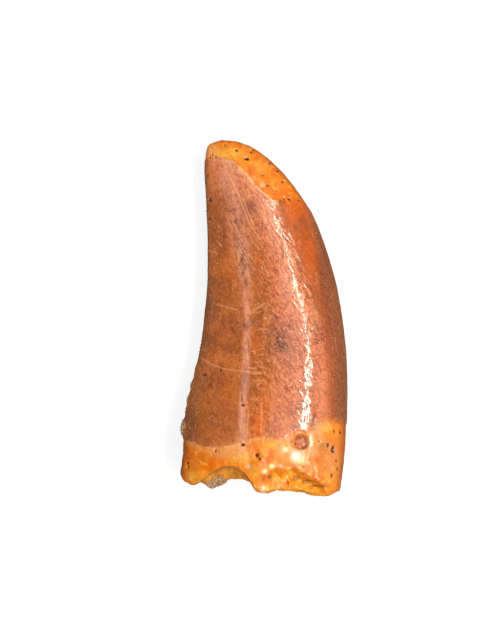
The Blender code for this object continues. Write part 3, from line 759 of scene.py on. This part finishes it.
def closed_net(name, rings, values):
    """A mesh object from rings of points, closed by a fan at each end, with a value per point."""
    count, columns = rings.shape[:2]
    inner = rings[:-1].reshape(-1, 3)
    points = np.concatenate([inner, [rings[0].mean(axis=0)], [rings[-1, 0]]]) * MM
    start, end = len(points) - 2, len(points) - 1
    faces = []
    for i in range(count - 2):
        for j in range(columns):
            k = (j + 1) % columns
            low, high = i * columns, (i + 1) * columns
            faces.append((low + j, low + k, high + k, high + j))
    last = (count - 2) * columns
    for j in range(columns):
        k = (j + 1) % columns
        faces.append((start, k, j))
        faces.append((end, last + j, last + k))
    data = bpy.data.meshes.new(name)
    data.from_pydata(points.tolist(), [], faces)
    for label, value in values.items():
        flat = np.concatenate([value[:-1].ravel(), [value[0].mean()], [value[-1, 0]]])
        attribute = data.attributes.new(label, "FLOAT", "POINT")
        attribute.data.foreach_set("value", flat.astype(np.float32))
    data.shade_smooth()
    made = bpy.data.objects.new(name, data)
    bpy.context.scene.collection.objects.link(made)
    return made


tooth = closed_net("fossil_tooth", rings, marks)


def colour(red, green, blue):
    """A colour as a paint chart gives it, from 0 to 255, in the light that Blender works with."""
    shares = [value / 255 for value in (red, green, blue)]
    light = [s / 12.92 if s <= 0.04045 else ((s + 0.055) / 1.055) ** 2.4 for s in shares]
    return (*light, 1.0)


def grey(value):
    """A grey as bright as the value."""
    return (value, value, value, 1.0)


def put(tree, socket, value):
    """Gives a socket a node's output, what the mesh holds under a name, or a plain value."""
    if isinstance(value, str) and socket.type != "STRING":
        value = output_of(tree, "Attribute", output="Fac", attribute_name=value)
    if isinstance(value, bpy.types.NodeSocket):
        tree.links.new(value, socket)
    else:
        socket.default_value = value


def output_of(tree, kind, inputs=None, output=0, **settings):
    """What a new node puts out, with its settings, and its inputs by name or number. Its kind is
    the full name, or else the part of it that follows the name of the tree's own nodes."""
    if "Node" not in kind:
        kind = tree.bl_idname.removesuffix("Tree") + kind
    made = tree.nodes.new(kind)
    for name, value in settings.items():
        setattr(made, name, value)
    for name, value in (inputs or {}).items():
        put(tree, made.inputs[name], value)
    return made.outputs[output]


def new_material(name, plain):
    """A material with plain values on its shader, with its node tree and that shader."""
    made = bpy.data.materials.new(name)
    made.use_nodes = True
    shader = made.node_tree.nodes["Principled BSDF"]
    for label, value in plain.items():
        shader.inputs[label].default_value = value
    return made, made.node_tree, shader


def maths(tree, operation, first, second=0.0, third=0.0):
    """One sum of two or three values."""
    return output_of(tree, "ShaderNodeMath", {0: first, 1: second, 2: third}, operation=operation)


def times(tree, first, *others):
    """The product of some values."""
    for other in others:
        first = maths(tree, "MULTIPLY", first, other)
    return first


def largest(tree, first, *others):
    """The largest of some values."""
    for other in others:
        first = maths(tree, "MAXIMUM", first, other)
    return first


def mapped(tree, value, low, high, to_low=0.0, to_high=1.0):
    """The value's place between low and high, as a smooth share."""
    inputs = {"Value": value, "From Min": low, "From Max": high, "To Min": to_low, "To Max": to_high}
    return output_of(tree, "MapRange", inputs, interpolation_type="SMOOTHSTEP")


def mixed(tree, factor, first, second):
    """The colour between two colours, at a factor."""
    inputs = {0: factor, 6: first, 7: second}
    return output_of(tree, "Mix", inputs, 2, data_type="RGBA", blend_type="MIX")


def layered(tree, base, layers):
    """The base colour with layers over it, each a colour, a value, the value's range or None,
    and what else its share is multiplied by."""
    for over, value, limits, *factors in layers:
        if limits:
            value = mapped(tree, value, *limits)
        base = mixed(tree, times(tree, value, *factors), base, over)
    return base


def vector_maths(tree, operation, first, second, third=(0.0, 0.0, 0.0)):
    """One sum of two or three vectors."""
    inputs = {0: first, 1: second, 2: third}
    return output_of(tree, "VectorMath", inputs, operation=operation)


def noise_of(tree, coordinates, size, detail=3.0, roughness=0.55):
    """Soft random noise with lumps of the given size in millimetres."""
    inputs = {"Vector": coordinates, "Scale": 1.0 / size, "Detail": detail, "Roughness": roughness}
    return output_of(tree, "TexNoise", inputs, "Fac")


def in_millimetres(tree, stretch=(1.0, 1.0, 1.0), turn=0.0):
    """The object's own coordinates in millimetres, turned about Z in degrees and stretched."""
    place = output_of(tree, "TexCoord", output="Object")
    inputs = {"Vector": place, "Rotation": (0.0, 0.0, math.radians(turn))}
    turned = output_of(tree, "Mapping", inputs)
    return vector_maths(tree, "MULTIPLY", turned, tuple(1.0 / (MM * s) for s in stretch))


DOT_EDGE = (0.12, 0.26)            # where a dot begins to fade and ends, as shares of its cell


def scattered(tree, place, scale, kept_share):
    """A dot in each cell of a net, where only a share of the cells keeps its dot."""
    cells = output_of(tree, "TexVoronoi", {"Vector": place, "Scale": scale}, "Distance")
    chance = output_of(tree, "SeparateColor", {0: cells.node.outputs["Color"]})
    kept = maths(tree, "LESS_THAN", chance, kept_share)
    return times(tree, mapped(tree, cells, *DOT_EDGE, 1.0, 0.0), kept)


HAIR_WAVE = (1.5, 0.5)             # how long the waves of the hairs are, and how high
HAIR_CELL = (2.0, 3.0)             # the cell of each hair, in its lengths and widths


def fine_strokes_group():
    """Hair-fine strokes at a slant: 1 along each stroke and 0 elsewhere."""
    group = bpy.data.node_groups.new("fine_strokes", "ShaderNodeTree")
    group.interface.new_socket("Place", in_out="INPUT", socket_type="NodeSocketVector")
    for label in ("Slant", "Length", "Width", "Share"):
        group.interface.new_socket(label, in_out="INPUT", socket_type="NodeSocketFloat")
    group.interface.new_socket("Stroke", in_out="OUTPUT", socket_type="NodeSocketFloat")
    given = group.nodes.new("NodeGroupInput").outputs
    result = group.nodes.new("NodeGroupOutput")
    wave = noise_of(group, given["Place"], HAIR_WAVE[0], 1.0)
    wave = output_of(group, "CombineXYZ", {1: times(group, wave, HAIR_WAVE[1])})
    bent = vector_maths(group, "ADD", given["Place"], wave)
    inputs = {"Vector": bent, "Angle": times(group, given["Slant"], -1.0)}
    turned = output_of(group, "VectorRotate", inputs, rotation_type="Z_AXIS")
    length = times(group, given["Length"], HAIR_CELL[0])
    width = times(group, given["Width"], HAIR_CELL[1])
    cell = output_of(group, "CombineXYZ", {0: length, 1: width, 2: given["Length"]})
    squeezed = vector_maths(group, "DIVIDE", turned, cell)
    put(group, result.inputs["Stroke"], scattered(group, squeezed, 1.0, given["Share"]))
    return group


fine_strokes = fine_strokes_group()


def hair_strokes(tree, place, slant, length, width, share):
    """Fine strokes at a slant in degrees, their length and width in millimetres."""
    inputs = {
        "Place": place, "Slant": math.radians(slant), "Length": length, "Width": width, "Share": share,
    }
    return output_of(tree, "Group", inputs, "Stroke", node_tree=fine_strokes)


CRACK_STRETCH = (0.4, 1.0, 1.0)
CRACK_WAVES = (0.6, 0.7)           # the sizes of their crooks, along and across
CRACK_CROOKS = (0.6, 0.9, 0.0)     # how far the crooks reach
CRACK_GAPS = (0.8, 0.5, 0.58)      # the size of the gaps, and where they begin and end


def crack_lines(tree, place, slant, size, width):
    """Thin crooked cracks at a slant in degrees, broken off here and there."""
    turn = {"Vector": place, "Angle": math.radians(-slant)}
    turned = output_of(tree, "VectorRotate", turn, rotation_type="Z_AXIS")
    stretched = vector_maths(tree, "MULTIPLY", turned, CRACK_STRETCH)
    inputs = {0: noise_of(tree, turned, CRACK_WAVES[0]), 1: noise_of(tree, place, CRACK_WAVES[1])}
    bend = output_of(tree, "CombineXYZ", inputs)
    crooked = vector_maths(tree, "MULTIPLY_ADD", bend, CRACK_CROOKS, stretched)
    inputs = {"Vector": crooked, "Scale": 1.0 / size}
    edge = output_of(tree, "TexVoronoi", inputs, "Distance", feature="DISTANCE_TO_EDGE")
    line = mapped(tree, edge, 0.0, width / size, 1.0, 0.0)
    kept = mapped(tree, noise_of(tree, turned, CRACK_GAPS[0], 1.0), *CRACK_GAPS[1:])
    return times(tree, line, kept)


# Coordinates that stretch the noise, as stretch and turn in degrees.
SCUFFED = ((1.0, 0.3, 1.0), 58)
CROSS_SCUFFED = ((0.3, 1.0, 1.0), -20)
LENGTHWISE = ((0.5, 3.0, 1.0), -6)
fossil, tree, shader = new_material(
    "stained_enamel_and_dentine", {"Coat Roughness": 0.1, "Specular IOR Level": 0.2}
)
place = in_millimetres(tree)
scuffed = in_millimetres(tree, *SCUFFED)
cross_scuffed = in_millimetres(tree, *CROSS_SCUFFED)
lengthwise = in_millimetres(tree, *LENGTHWISE)

# Hair-fine wrinkles and scratches, thickest on the rosy front half, dark cracks and pale specks,
# which are partly painted glints.
# Hairs are given as slant, length, width and share, nets of cracks as slant, size and width, and
# ranges as where a value begins and ends to count, and how much it counts there.
HAIRS = [(-60, 1.2, 0.11, 0.7), (-38, 0.9, 0.11, 0.5), (-80, 1.0, 0.11, 0.5), (35, 0.7, 0.11, 0.4)]
RIDGE_HAIRS = (-76, 2.4, 0.13, 0.9)
GROOVE_HAIRS = (8, 1.1, 0.24, "rippled")
DARK_HAIRS = (-48, 1.1, 0.14, 0.3)
CRACK_NETS = [(-56, 1.0, 0.07), (20, 0.8, 0.06)]
SPECKS_PER_MM = 2.2
CALM_RANGE = (0.0, 1.0, 1.0, 0.3)
ORANGE_RANGE = (0.0, 1.0, 1.0, 0.35)
HAIRS_START = (0.4, 0.6, 0.2, 1.0)
HAIRS_END = (0.74, 0.86, 1.0, 0.15)
DRAWN_CRACKS = 0.9
calmed = mapped(tree, "calm", *CALM_RANGE)
unscuffed = mapped(tree, "orange", *ORANGE_RANGE)
front = times(tree, mapped(tree, "share", *HAIRS_START), calmed, unscuffed)
hairs = largest(tree, *[hair_strokes(tree, place, *hair) for hair in HAIRS])
hairs = times(tree, hairs, front, mapped(tree, "share", *HAIRS_END))
striae = times(tree, hair_strokes(tree, place, *RIDGE_HAIRS), "ridge_tone")
hairs = largest(tree, hairs, striae, hair_strokes(tree, place, *GROOVE_HAIRS))
cracks = largest(tree, *[crack_lines(tree, place, *net) for net in CRACK_NETS])
cracks = largest(tree, times(tree, cracks, "cracked"), times(tree, "cracks", DRAWN_CRACKS))
specks = scattered(tree, place, SPECKS_PER_MM, "specked")
scuffs = noise_of(tree, scuffed, 1.0, 4.0, 0.7)
cross_scuffs = noise_of(tree, cross_scuffed, 0.8, 4.0, 0.7)

# Enamel: red-brown, with brown clouds, paler specks and streaks that run up the crown. Painted light
# is mixed in: sheen on the rosy front half and the ridge, highlights along the gloss streak, the worn
# tip's edge and in pale specks, and shade that turns the margins browner.
BROWN = colour(170, 88, 38)
COPPER = colour(206, 110, 48)
TIP_COPPER = colour(230, 126, 80)
ROSE_AND_SHEEN = colour(214, 110, 72)
# The pale of specks, hairs, scratches and scuffs: partly the enamel's own, partly painted glints.
PALE_SPECK = colour(255, 172, 122)
RIDGE_PINK = colour(222, 146, 116)
MARGIN_OLIVE = colour(160, 90, 14)
FRONT_MARGIN_SHADE = colour(147, 83, 46)
FRONT_COPPER = colour(172, 72, 12)
GLOWING_ORANGE = colour(228, 100, 4)
DARK_BROWN = colour(112, 54, 28)
GREY_STAIN = colour(116, 74, 62)
RIM_HIGHLIGHT_COLOUR = colour(255, 196, 140)
DENTINE_PINK = colour(240, 174, 118)
CRACK_BROWN = colour(72, 34, 20)
SCUFFS_START = (0.36, 0.46, 0.3, 1.0)
SCUFFS_END = (0.76, 0.86, 1.0, 0.2)
LINES_END = (0.7, 0.82, 1.0, 0.0)
STAIN_RANGE = (0.35, 0.6, 0.4, 0.9)
clouds = noise_of(tree, place, 3.6, 4.0)
fine_clouds = noise_of(tree, place, 0.7)
dust = noise_of(tree, place, 0.2, 2.0)
streaks = noise_of(tree, lengthwise, 1.0)
on_front = times(tree, mapped(tree, "share", *SCUFFS_START), mapped(tree, "share", *SCUFFS_END))
on_front = times(tree, on_front, calmed, unscuffed)
off_edge = mapped(tree, "share", *LINES_END)
stained = times(tree, "stain", mapped(tree, fine_clouds, *STAIN_RANGE))
enamel_colour = layered(tree, BROWN, [
    (COPPER, clouds, (0.36, 0.64)),
    (TIP_COPPER, "past_wear", (-8.0, -0.5, 0.0, 0.85)),
    # Darker copper towards the front, partly painted shade where the side turns from the light.
    (FRONT_COPPER, "share", (0.55, 0.72)),
    # The rosy front half, partly painted sheen.
    (ROSE_AND_SHEEN, clouds, (0.2, 0.6, 0.6, 1.0), "rose"),
    # Painted shade: browner towards the front margin and olive-brown towards the keel, where the side
    # turns from the light.
    (FRONT_MARGIN_SHADE, "share", (0.84, 0.95, 0.0, 0.9)),
    (MARGIN_OLIVE, "share", (0.01, 0.07, 0.85, 0.0)),
    (MARGIN_OLIVE, "olive", None),
    (GLOWING_ORANGE, "orange", None),
    (DARK_BROWN, "brown", None),
    (DENTINE_PINK, "pink", None, 0.75),
    # The ridge's pale pink band: partly painted sheen.
    (RIDGE_PINK, streaks, (0.32, 0.56, 0.35, 0.95), "ridge_tone"),
    (PALE_SPECK, streaks, (0.56, 0.75, 0.0, 0.25)),
    (DARK_BROWN, fine_clouds, (0.3, 0.5, 0.35, 0.0)),
    (DARK_BROWN, dust, (0.3, 0.5, 0.2, 0.0)),
    (PALE_SPECK, dust, (0.52, 0.72, 0.0, 0.2)),
    (PALE_SPECK, fine_clouds, (0.4, 0.65, 0.0, 0.3), "lines", off_edge),
    (PALE_SPECK, scuffs, (0.52, 0.68, 0.0, 0.5), on_front),
    (DARK_BROWN, scuffs, (0.32, 0.46, 0.5, 0.0), on_front),
    (PALE_SPECK, cross_scuffs, (0.52, 0.68, 0.0, 0.5), on_front),
    (DARK_BROWN, cross_scuffs, (0.32, 0.46, 0.5, 0.0), on_front),
    (GREY_STAIN, stained, None),
    (DARK_BROWN, hair_strokes(tree, place, *DARK_HAIRS), None, on_front, 0.5),
    # Pale hairs and specks, partly painted glints.
    (PALE_SPECK, hairs, None, 0.65),
    (PALE_SPECK, specks, None, 0.7),
    (PALE_SPECK, "scratches", None, 0.6),
    # Paler along the gloss streak: a painted highlight.
    (PALE_SPECK, scuffs, (0.42, 0.62, 0.0, 0.6), "streak"),
    # A painted highlight: pale along the raised enamel edge of the worn tip.
    (RIM_HIGHLIGHT_COLOUR, fine_clouds, (0.35, 0.55, 0.2, 0.95), "rim"),
    (CRACK_BROWN, cracks, None, 0.85),
])

# Dentine: bright orange, yellower in patches, with painted white glints, and browner at the margins
# and darker in the hollows and under the arch's lip, which is painted shade.
ORANGE = colour(239, 124, 8)
SOFT_ORANGE = colour(243, 148, 40)
DEEP_ORANGE = colour(230, 104, 4)
YELLOW = colour(252, 206, 86)
PAINTED_GLINT_COLOUR = colour(255, 252, 228)
DENTINE_BROWN = colour(160, 84, 28)
HOLLOW_ORANGE = colour(252, 170, 36)
HOLLOW_BROWN = colour(214, 120, 24)
HOLLOW_DARK = colour(104, 44, 10)
CRATER_BROWN = colour(206, 122, 84)
CRATER_DARK = colour(124, 62, 40)
PULP_ORANGE = colour(255, 178, 72)
PULP_BROWN = colour(232, 134, 42)
NECK_RANGE = (-1.1, 0.1, 0.0, 0.75)
NECK_END = (-12.0, -6.0, 1.0, 0.0)
fracture = noise_of(tree, place, 0.8, 4.0, 0.65)
fracture_colour = layered(tree, HOLLOW_BROWN, [(HOLLOW_ORANGE, fracture, (0.36, 0.56))])
crater_colour = layered(tree, CRATER_DARK, [(CRATER_BROWN, noise_of(tree, place, 0.5), (0.4, 0.6))])
pulp_colour = layered(tree, PULP_BROWN, [
    (PULP_ORANGE, fracture, (0.4, 0.55)),
    (HOLLOW_DARK, noise_of(tree, place, 1.3, 4.0, 0.7), (0.36, 0.48, 0.7, 0.0)),
])
by_neck = mapped(tree, "above_neck", *NECK_RANGE)
by_neck = times(tree, by_neck, mapped(tree, "past_wear", *NECK_END))
dentine_colour = layered(tree, DEEP_ORANGE, [
    (ORANGE, noise_of(tree, place, 2.6), (0.36, 0.6)),
    (SOFT_ORANGE, fine_clouds, (0.45, 0.7, 0.0, 0.7)),
    (DEEP_ORANGE, "orange", None),
    (YELLOW, fine_clouds, (0.3, 0.55, 0.4, 1.0), "yellow"),
    (DENTINE_PINK, streaks, (0.3, 0.6, 0.5, 1.0), "pink"),
    (DENTINE_PINK, streaks, (0.35, 0.6, 0.15, 1.0), by_neck),
    (YELLOW, noise_of(tree, place, 0.9, 4.0, 0.65), (0.56, 0.68, 0.0, 0.6)),
    (DENTINE_BROWN, noise_of(tree, scuffed, 1.3, 4.0, 0.65), (0.3, 0.42, 0.3, 0.0)),
    (DENTINE_BROWN, "brown", None, 0.45),
    (GREY_STAIN, stained, None, 0.8),
    # Painted highlights: white glints on the dentine.
    (PAINTED_GLINT_COLOUR, "pale", None),
    (DENTINE_BROWN, dust, (0.3, 0.5, 0.2, 0.0)),
    # Painted shade: browner along both margins, where the side turns from the light.
    (DENTINE_BROWN, "share", (0.0, 0.035, 0.7, 0.0)),
    (DENTINE_BROWN, "share", (0.93, 1.0, 0.0, 0.7)),
    (crater_colour, "crater", (0.3, 0.5, 0.0, 0.9)),
    (fracture_colour, "broken", None, 0.85),
    (pulp_colour, "pulp", None),
    # Painted shade in the hollows and under the arch's lip.
    (HOLLOW_DARK, fine_clouds, (0.3, 0.5, 0.5, 0.95), "hollow_stain"),
])

# Sandstone between the grains, and the dark of the pores. Where one kind of surface ends and the
# next begins, a little noise makes the edge ragged.
SAND_BROWN = colour(142, 104, 66)
SAND_PALE = colour(224, 186, 148)
PORE_BROWN = colour(58, 28, 12)
EDGE_NOISE = (0.6, -0.3)
NECK_EDGE = (-0.16, 0.16)
WEAR_EDGE = (-0.12, 0.12, 1.0, 0.0)
SAND_EDGE = (0.45, 0.65)
sand_colour = layered(tree, SAND_BROWN, [(SAND_PALE, dust, (0.35, 0.65))])
ragged = maths(tree, "MULTIPLY_ADD", noise_of(tree, place, 0.55), *EDGE_NOISE)
is_enamel = mapped(tree, maths(tree, "ADD", "above_neck", ragged), *NECK_EDGE)
unworn = mapped(tree, maths(tree, "ADD", "past_wear", ragged), *WEAR_EDGE)
is_enamel = times(tree, is_enamel, unworn)
is_sand = mapped(tree, maths(tree, "ADD", "sand", ragged), *SAND_EDGE)
surface_colour = layered(tree, dentine_colour, [
    (enamel_colour, is_enamel, None),
    (sand_colour, is_sand, None),
    (PORE_BROWN, "beyond_pore", (-0.08, 0.06, 1.0, 0.0)),
])
tree.links.new(surface_colour, shader.inputs["Base Color"])

# Gloss: polished enamel, duller dentine and dull sandstone.
ENAMEL_ROUGHNESS = (0.32, 0.5)
DENTINE_ROUGHNESS = 0.42
SAND_ROUGHNESS = 0.9
ENAMEL_COAT = 0.3
DENTINE_COAT = 0.2
gloss = mapped(tree, noise_of(tree, place, 0.8, 4.0), 0.3, 0.7, *ENAMEL_ROUGHNESS)
roughness = layered(tree, grey(DENTINE_ROUGHNESS), [
    (gloss, is_enamel, None),
    (grey(SAND_ROUGHNESS), is_sand, None),
])
tree.links.new(roughness, shader.inputs["Roughness"])
enamel_coat = mixed(tree, "polished", grey(ENAMEL_COAT), grey(1.0))
coat = layered(tree, grey(DENTINE_COAT), [
    (enamel_coat, is_enamel, None),
    (grey(0.0), is_sand, None),
])
tree.links.new(coat, shader.inputs["Coat Weight"])

# The finest relief, in millimetres: hairs and specks stand up, cracks cut in, the rest is grain.
HAIR_HEIGHT = 0.014
SPECK_HEIGHT = 0.02
CRACK_DEPTH = 0.03
SCUFF_HEIGHT = (0.075, 0.015)      # where the enamel is worn, and where it is calm
FINE_GRAIN = 0.024
height = times(tree, hairs, HAIR_HEIGHT)
height = maths(tree, "MULTIPLY_ADD", specks, SPECK_HEIGHT, height)
height = maths(tree, "MULTIPLY_ADD", cracks, -CRACK_DEPTH, height)
height = times(tree, height, is_enamel)
scuffing = times(tree, is_enamel, mapped(tree, "calm", 0.0, 1.0, *SCUFF_HEIGHT))
height = maths(tree, "MULTIPLY_ADD", scuffs, scuffing, height)
height = maths(tree, "MULTIPLY_ADD", noise_of(tree, place, 0.32, 3.0, 0.6), FINE_GRAIN, height)
bump = output_of(tree, "Bump", {"Height": height, "Strength": 1.0, "Distance": MM})
tree.links.new(bump, shader.inputs["Normal"])

tooth.data.materials.append(fossil)
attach(tooth, "root")
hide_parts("tooth")


# Grains of sand. The sandstone that clings to the tooth is quartz sand, which shows as separate
# grains, pale and brown, that stand out of its surface.
GRAIN_RADIUS = 0.1
GRAINS_PER_MM2 = 22.0
GRAIN_SEED = 5
GRAIN_SIZES = {"Min": (0.5, 0.5, 0.4), "Max": (1.5, 1.3, 1.0), "Seed": 2}
GRAIN_TURNS = {"Min": (0.0, 0.0, 0.0), "Max": (math.tau, math.tau, math.tau), "Seed": 1}
GRAIN_BROWN = colour(118, 82, 50)
GRAIN_PALE = colour(224, 190, 152)


def grown(name, base, tree, values):
    """The plain mesh that a Geometry Nodes tree grows from a base mesh, as a new object."""
    made = bpy.data.objects.new(name, base)
    bpy.context.scene.collection.objects.link(made)
    modifier = made.modifiers.new(name, "NODES")
    modifier.node_group = tree
    sockets = {s.name: s.identifier for s in tree.interface.items_tree if s.in_out == "INPUT"}
    for label, value in values.items():
        modifier[sockets[label]] = value
    graph = bpy.context.evaluated_depsgraph_get()
    result = bpy.data.meshes.new_from_object(made.evaluated_get(graph), depsgraph=graph)
    made.modifiers.clear()
    result.name = name
    made.data = result
    return made


def geometry_tree(name, numbers):
    """An empty Geometry Nodes tree with a mesh, numbers and a material going in and a mesh out."""
    tree = bpy.data.node_groups.new(name, "GeometryNodeTree")
    tree.interface.new_socket("Mesh", in_out="OUTPUT", socket_type="NodeSocketGeometry")
    tree.interface.new_socket("Mesh", in_out="INPUT", socket_type="NodeSocketGeometry")
    for label, kind in numbers.items():
        tree.interface.new_socket(label, in_out="INPUT", socket_type="NodeSocket" + kind)
    tree.interface.new_socket("Material", in_out="INPUT", socket_type="NodeSocketMaterial")
    return tree, tree.nodes.new("NodeGroupInput").outputs, tree.nodes.new("NodeGroupOutput")


def give_mesh(tree, instances, material, result):
    """Makes the instances one mesh of one material, which is what the tree gives."""
    mesh = output_of(tree, "RealizeInstances", {"Geometry": instances})
    mesh = output_of(tree, "SetMaterial", {"Geometry": mesh, "Material": material})
    put(tree, result.inputs["Mesh"], mesh)


def grain_tree():
    """Scatters angular grains over the part of a mesh that is marked as sand."""
    numbers = {"Radius": "Float", "Per square metre": "Float", "Seed": "Int"}
    tree, given, result = geometry_tree("sand_grains", numbers)
    sandy = output_of(tree, "InputNamedAttribute", {"Name": "sand"}, "Attribute")
    sandy = maths(tree, "GREATER_THAN", sandy, 0.5)
    density = times(tree, sandy, given["Per square metre"])
    inputs = {"Mesh": given["Mesh"], "Density": density, "Seed": given["Seed"]}
    points = output_of(tree, "DistributePointsOnFaces", inputs)
    inputs = {"Radius": given["Radius"], "Subdivisions": 1}
    ball = output_of(tree, "MeshIcoSphere", inputs)
    kind = "FunctionNodeRandomValue"
    turn = output_of(tree, kind, GRAIN_TURNS, "Value", data_type="FLOAT_VECTOR")
    size = output_of(tree, kind, GRAIN_SIZES, "Value", data_type="FLOAT_VECTOR")
    inputs = {"Points": points, "Instance": ball, "Rotation": turn, "Scale": size}
    grains = output_of(tree, "InstanceOnPoints", inputs)
    inputs = {"Geometry": grains, "Name": "tone", "Value": output_of(tree, kind, output=1)}
    grains = output_of(tree, "StoreNamedAttribute", inputs, domain="INSTANCE")
    give_mesh(tree, grains, given["Material"], result)
    return tree


sandstone, tree, shader = new_material("quartz_sandstone", {"Roughness": 0.6})
grain_colour = layered(tree, GRAIN_BROWN, [(GRAIN_PALE, "tone", (0.2, 0.9))])
tree.links.new(grain_colour, shader.inputs["Base Color"])

values = {
    "Radius": GRAIN_RADIUS * MM, "Per square metre": GRAINS_PER_MM2 / MM**2, "Seed": GRAIN_SEED,
    "Material": sandstone,
}
sand_grains = grown("sandstone_grains", tooth.data, grain_tree(), values)
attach(sand_grains, "root")


# Denticles. The keel carried a row of fine cutting teeth, two in a millimetre, which wear has
# rounded down to a string of low bumps in the same stained enamel.
DENTICLE_SPACING = 0.5
DENTICLE_SIZE = (0.44, 0.6, 0.62)         # along the keel, outwards and through the edge
DENTICLE_INSET = 0.24
DENTICLE_ENDS = (-7.0, 19.5)
DENTICLE_WEAR = [(0.35, 2.0, 0.0)]
DENTICLE_SHARE = 0.95                     # how large the worn ones are in the mean


def denticle_tree():
    """Sets a rounded bump at even steps along a line of edges, each as large as its wear left it."""
    tree, given, result = geometry_tree("denticles", {"Spacing": "Float", "Size": "Vector"})
    curve = output_of(tree, "MeshToCurve", {"Mesh": given["Mesh"]})
    inputs = {"Curve": curve, "Length": given["Spacing"]}
    points = output_of(tree, "ResampleCurve", inputs, mode="LENGTH")
    box = output_of(tree, "MeshCube", {"Size": given["Size"]})
    box = output_of(tree, "SubdivisionSurface", {"Mesh": box, "Level": 2})
    turn = {"Vector": output_of(tree, "InputTangent")}
    turn = output_of(tree, "FunctionNodeAlignRotationToVector", turn, axis="X")
    worn = output_of(tree, "InputNamedAttribute", {"Name": "size"}, "Attribute")
    inputs = {"Points": points, "Instance": box, "Rotation": turn, "Scale": worn}
    bumps = output_of(tree, "InstanceOnPoints", inputs)
    give_mesh(tree, bumps, given["Material"], result)
    return tree


keel_line = crown[:, UPPER_COLUMNS]
on_keel = (keel_line[:, 1] > DENTICLE_ENDS[0]) & (keel_line[:, 1] < DENTICLE_ENDS[1])
keel_line = rings[len(broken) : len(broken) + len(crown), UPPER_COLUMNS][on_keel]
keel_line = keel_line + (DENTICLE_INSET, 0.0, 0.0)
wear = DENTICLE_SHARE + lumps(keel_line, DENTICLE_WEAR)
keel_data = bpy.data.meshes.new("keel_line")
keel_edges = [(i, i + 1) for i in range(len(keel_line) - 1)]
keel_data.from_pydata((keel_line * MM).tolist(), keel_edges, [])
size_of_each = keel_data.attributes.new("size", "FLOAT", "POINT")
size_of_each.data.foreach_set("value", wear.astype(np.float32))

keel_enamel, tree, shader = new_material(
    "keel_enamel", {"Roughness": 0.4, "Coat Weight": 0.6, "Coat Roughness": 0.08}
)
keel_clouds = noise_of(tree, in_millimetres(tree), 0.7)
keel_colour = layered(tree, DARK_BROWN, [(MARGIN_OLIVE, keel_clouds, (0.35, 0.65))])
tree.links.new(keel_colour, shader.inputs["Base Color"])

values = {
    "Spacing": DENTICLE_SPACING * MM, "Size": [s * MM for s in DENTICLE_SIZE], "Material": keel_enamel,
}
denticles = grown("keel_denticles", keel_data, denticle_tree(), values)
denticles.data.shade_smooth()
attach(denticles, "root")


# The table and the light. The table is plain and white. A big soft light hangs overhead, and a
# long strip to the right draws the streak of gloss that runs up the crown.
FLOOR_SIZE = 3.0
HORIZON = (0.1, 0.25)              # the room is bright below this height and dim above it
DIM = 0.1
WARM = (1.0, 0.95, 0.8)
half = FLOOR_SIZE / 2
corners = [(-half, -half, 0), (half, -half, 0), (half, half, 0), (-half, half, 0)]
floor_data = bpy.data.meshes.new("floor")
floor_data.from_pydata(corners, [], [(0, 1, 2, 3)])
floor = bpy.data.objects.new("floor", floor_data)
bpy.context.scene.collection.objects.link(floor)
white, tree, shader = new_material(
    "white_table", {"Base Color": grey(0.2), "Roughness": 0.9, "Emission Strength": 0.85}
)
seen = output_of(tree, "LightPath", output="Is Camera Ray")
tree.links.new(seen, shader.inputs["Emission Color"])
floor.data.materials.append(white)


def soft_light(name, width, length, tilt, away, radiance, tint=(1.0, 1.0, 1.0)):
    """An area light that leans to the right by tilt and faces the tooth."""
    data = bpy.data.lights.new(name, "AREA")
    data.shape = "RECTANGLE"
    data.size = width
    data.size_y = length
    data.energy = radiance * math.pi * width * length
    data.color = tint
    made = bpy.data.objects.new(name, data)
    lean = math.radians(tilt)
    made.location = (away * math.sin(lean), 0.0, away * math.cos(lean))
    made.rotation_euler = Euler((0.0, lean, 0.0))
    bpy.context.scene.collection.objects.link(made)
    return made


soft_light("softbox", width=0.44, length=0.9, tilt=9.0, away=0.6, radiance=1.8)
soft_light("strip", width=0.018, length=0.8, tilt=24.0, away=0.5, radiance=52.0, tint=WARM)
gloss_strip = soft_light(
    "gloss_strip", width=0.055, length=0.8, tilt=24.0, away=0.52, radiance=24.0, tint=WARM
)
gloss_strip.visible_diffuse = False

world = bpy.data.worlds.new("studio")
world.use_nodes = True
sky = world.node_tree
direction = output_of(sky, "TexCoord", output="Generated")
height = output_of(sky, "SeparateXYZ", {0: direction}, "Z")
sky.links.new(mapped(sky, height, *HORIZON, 1.0, DIM), sky.nodes["Background"].inputs["Strength"])
sky.nodes["Background"].inputs["Color"].default_value = grey(1.0)
bpy.context.scene.world = world
bpy.context.scene.view_settings.view_transform = "Standard"
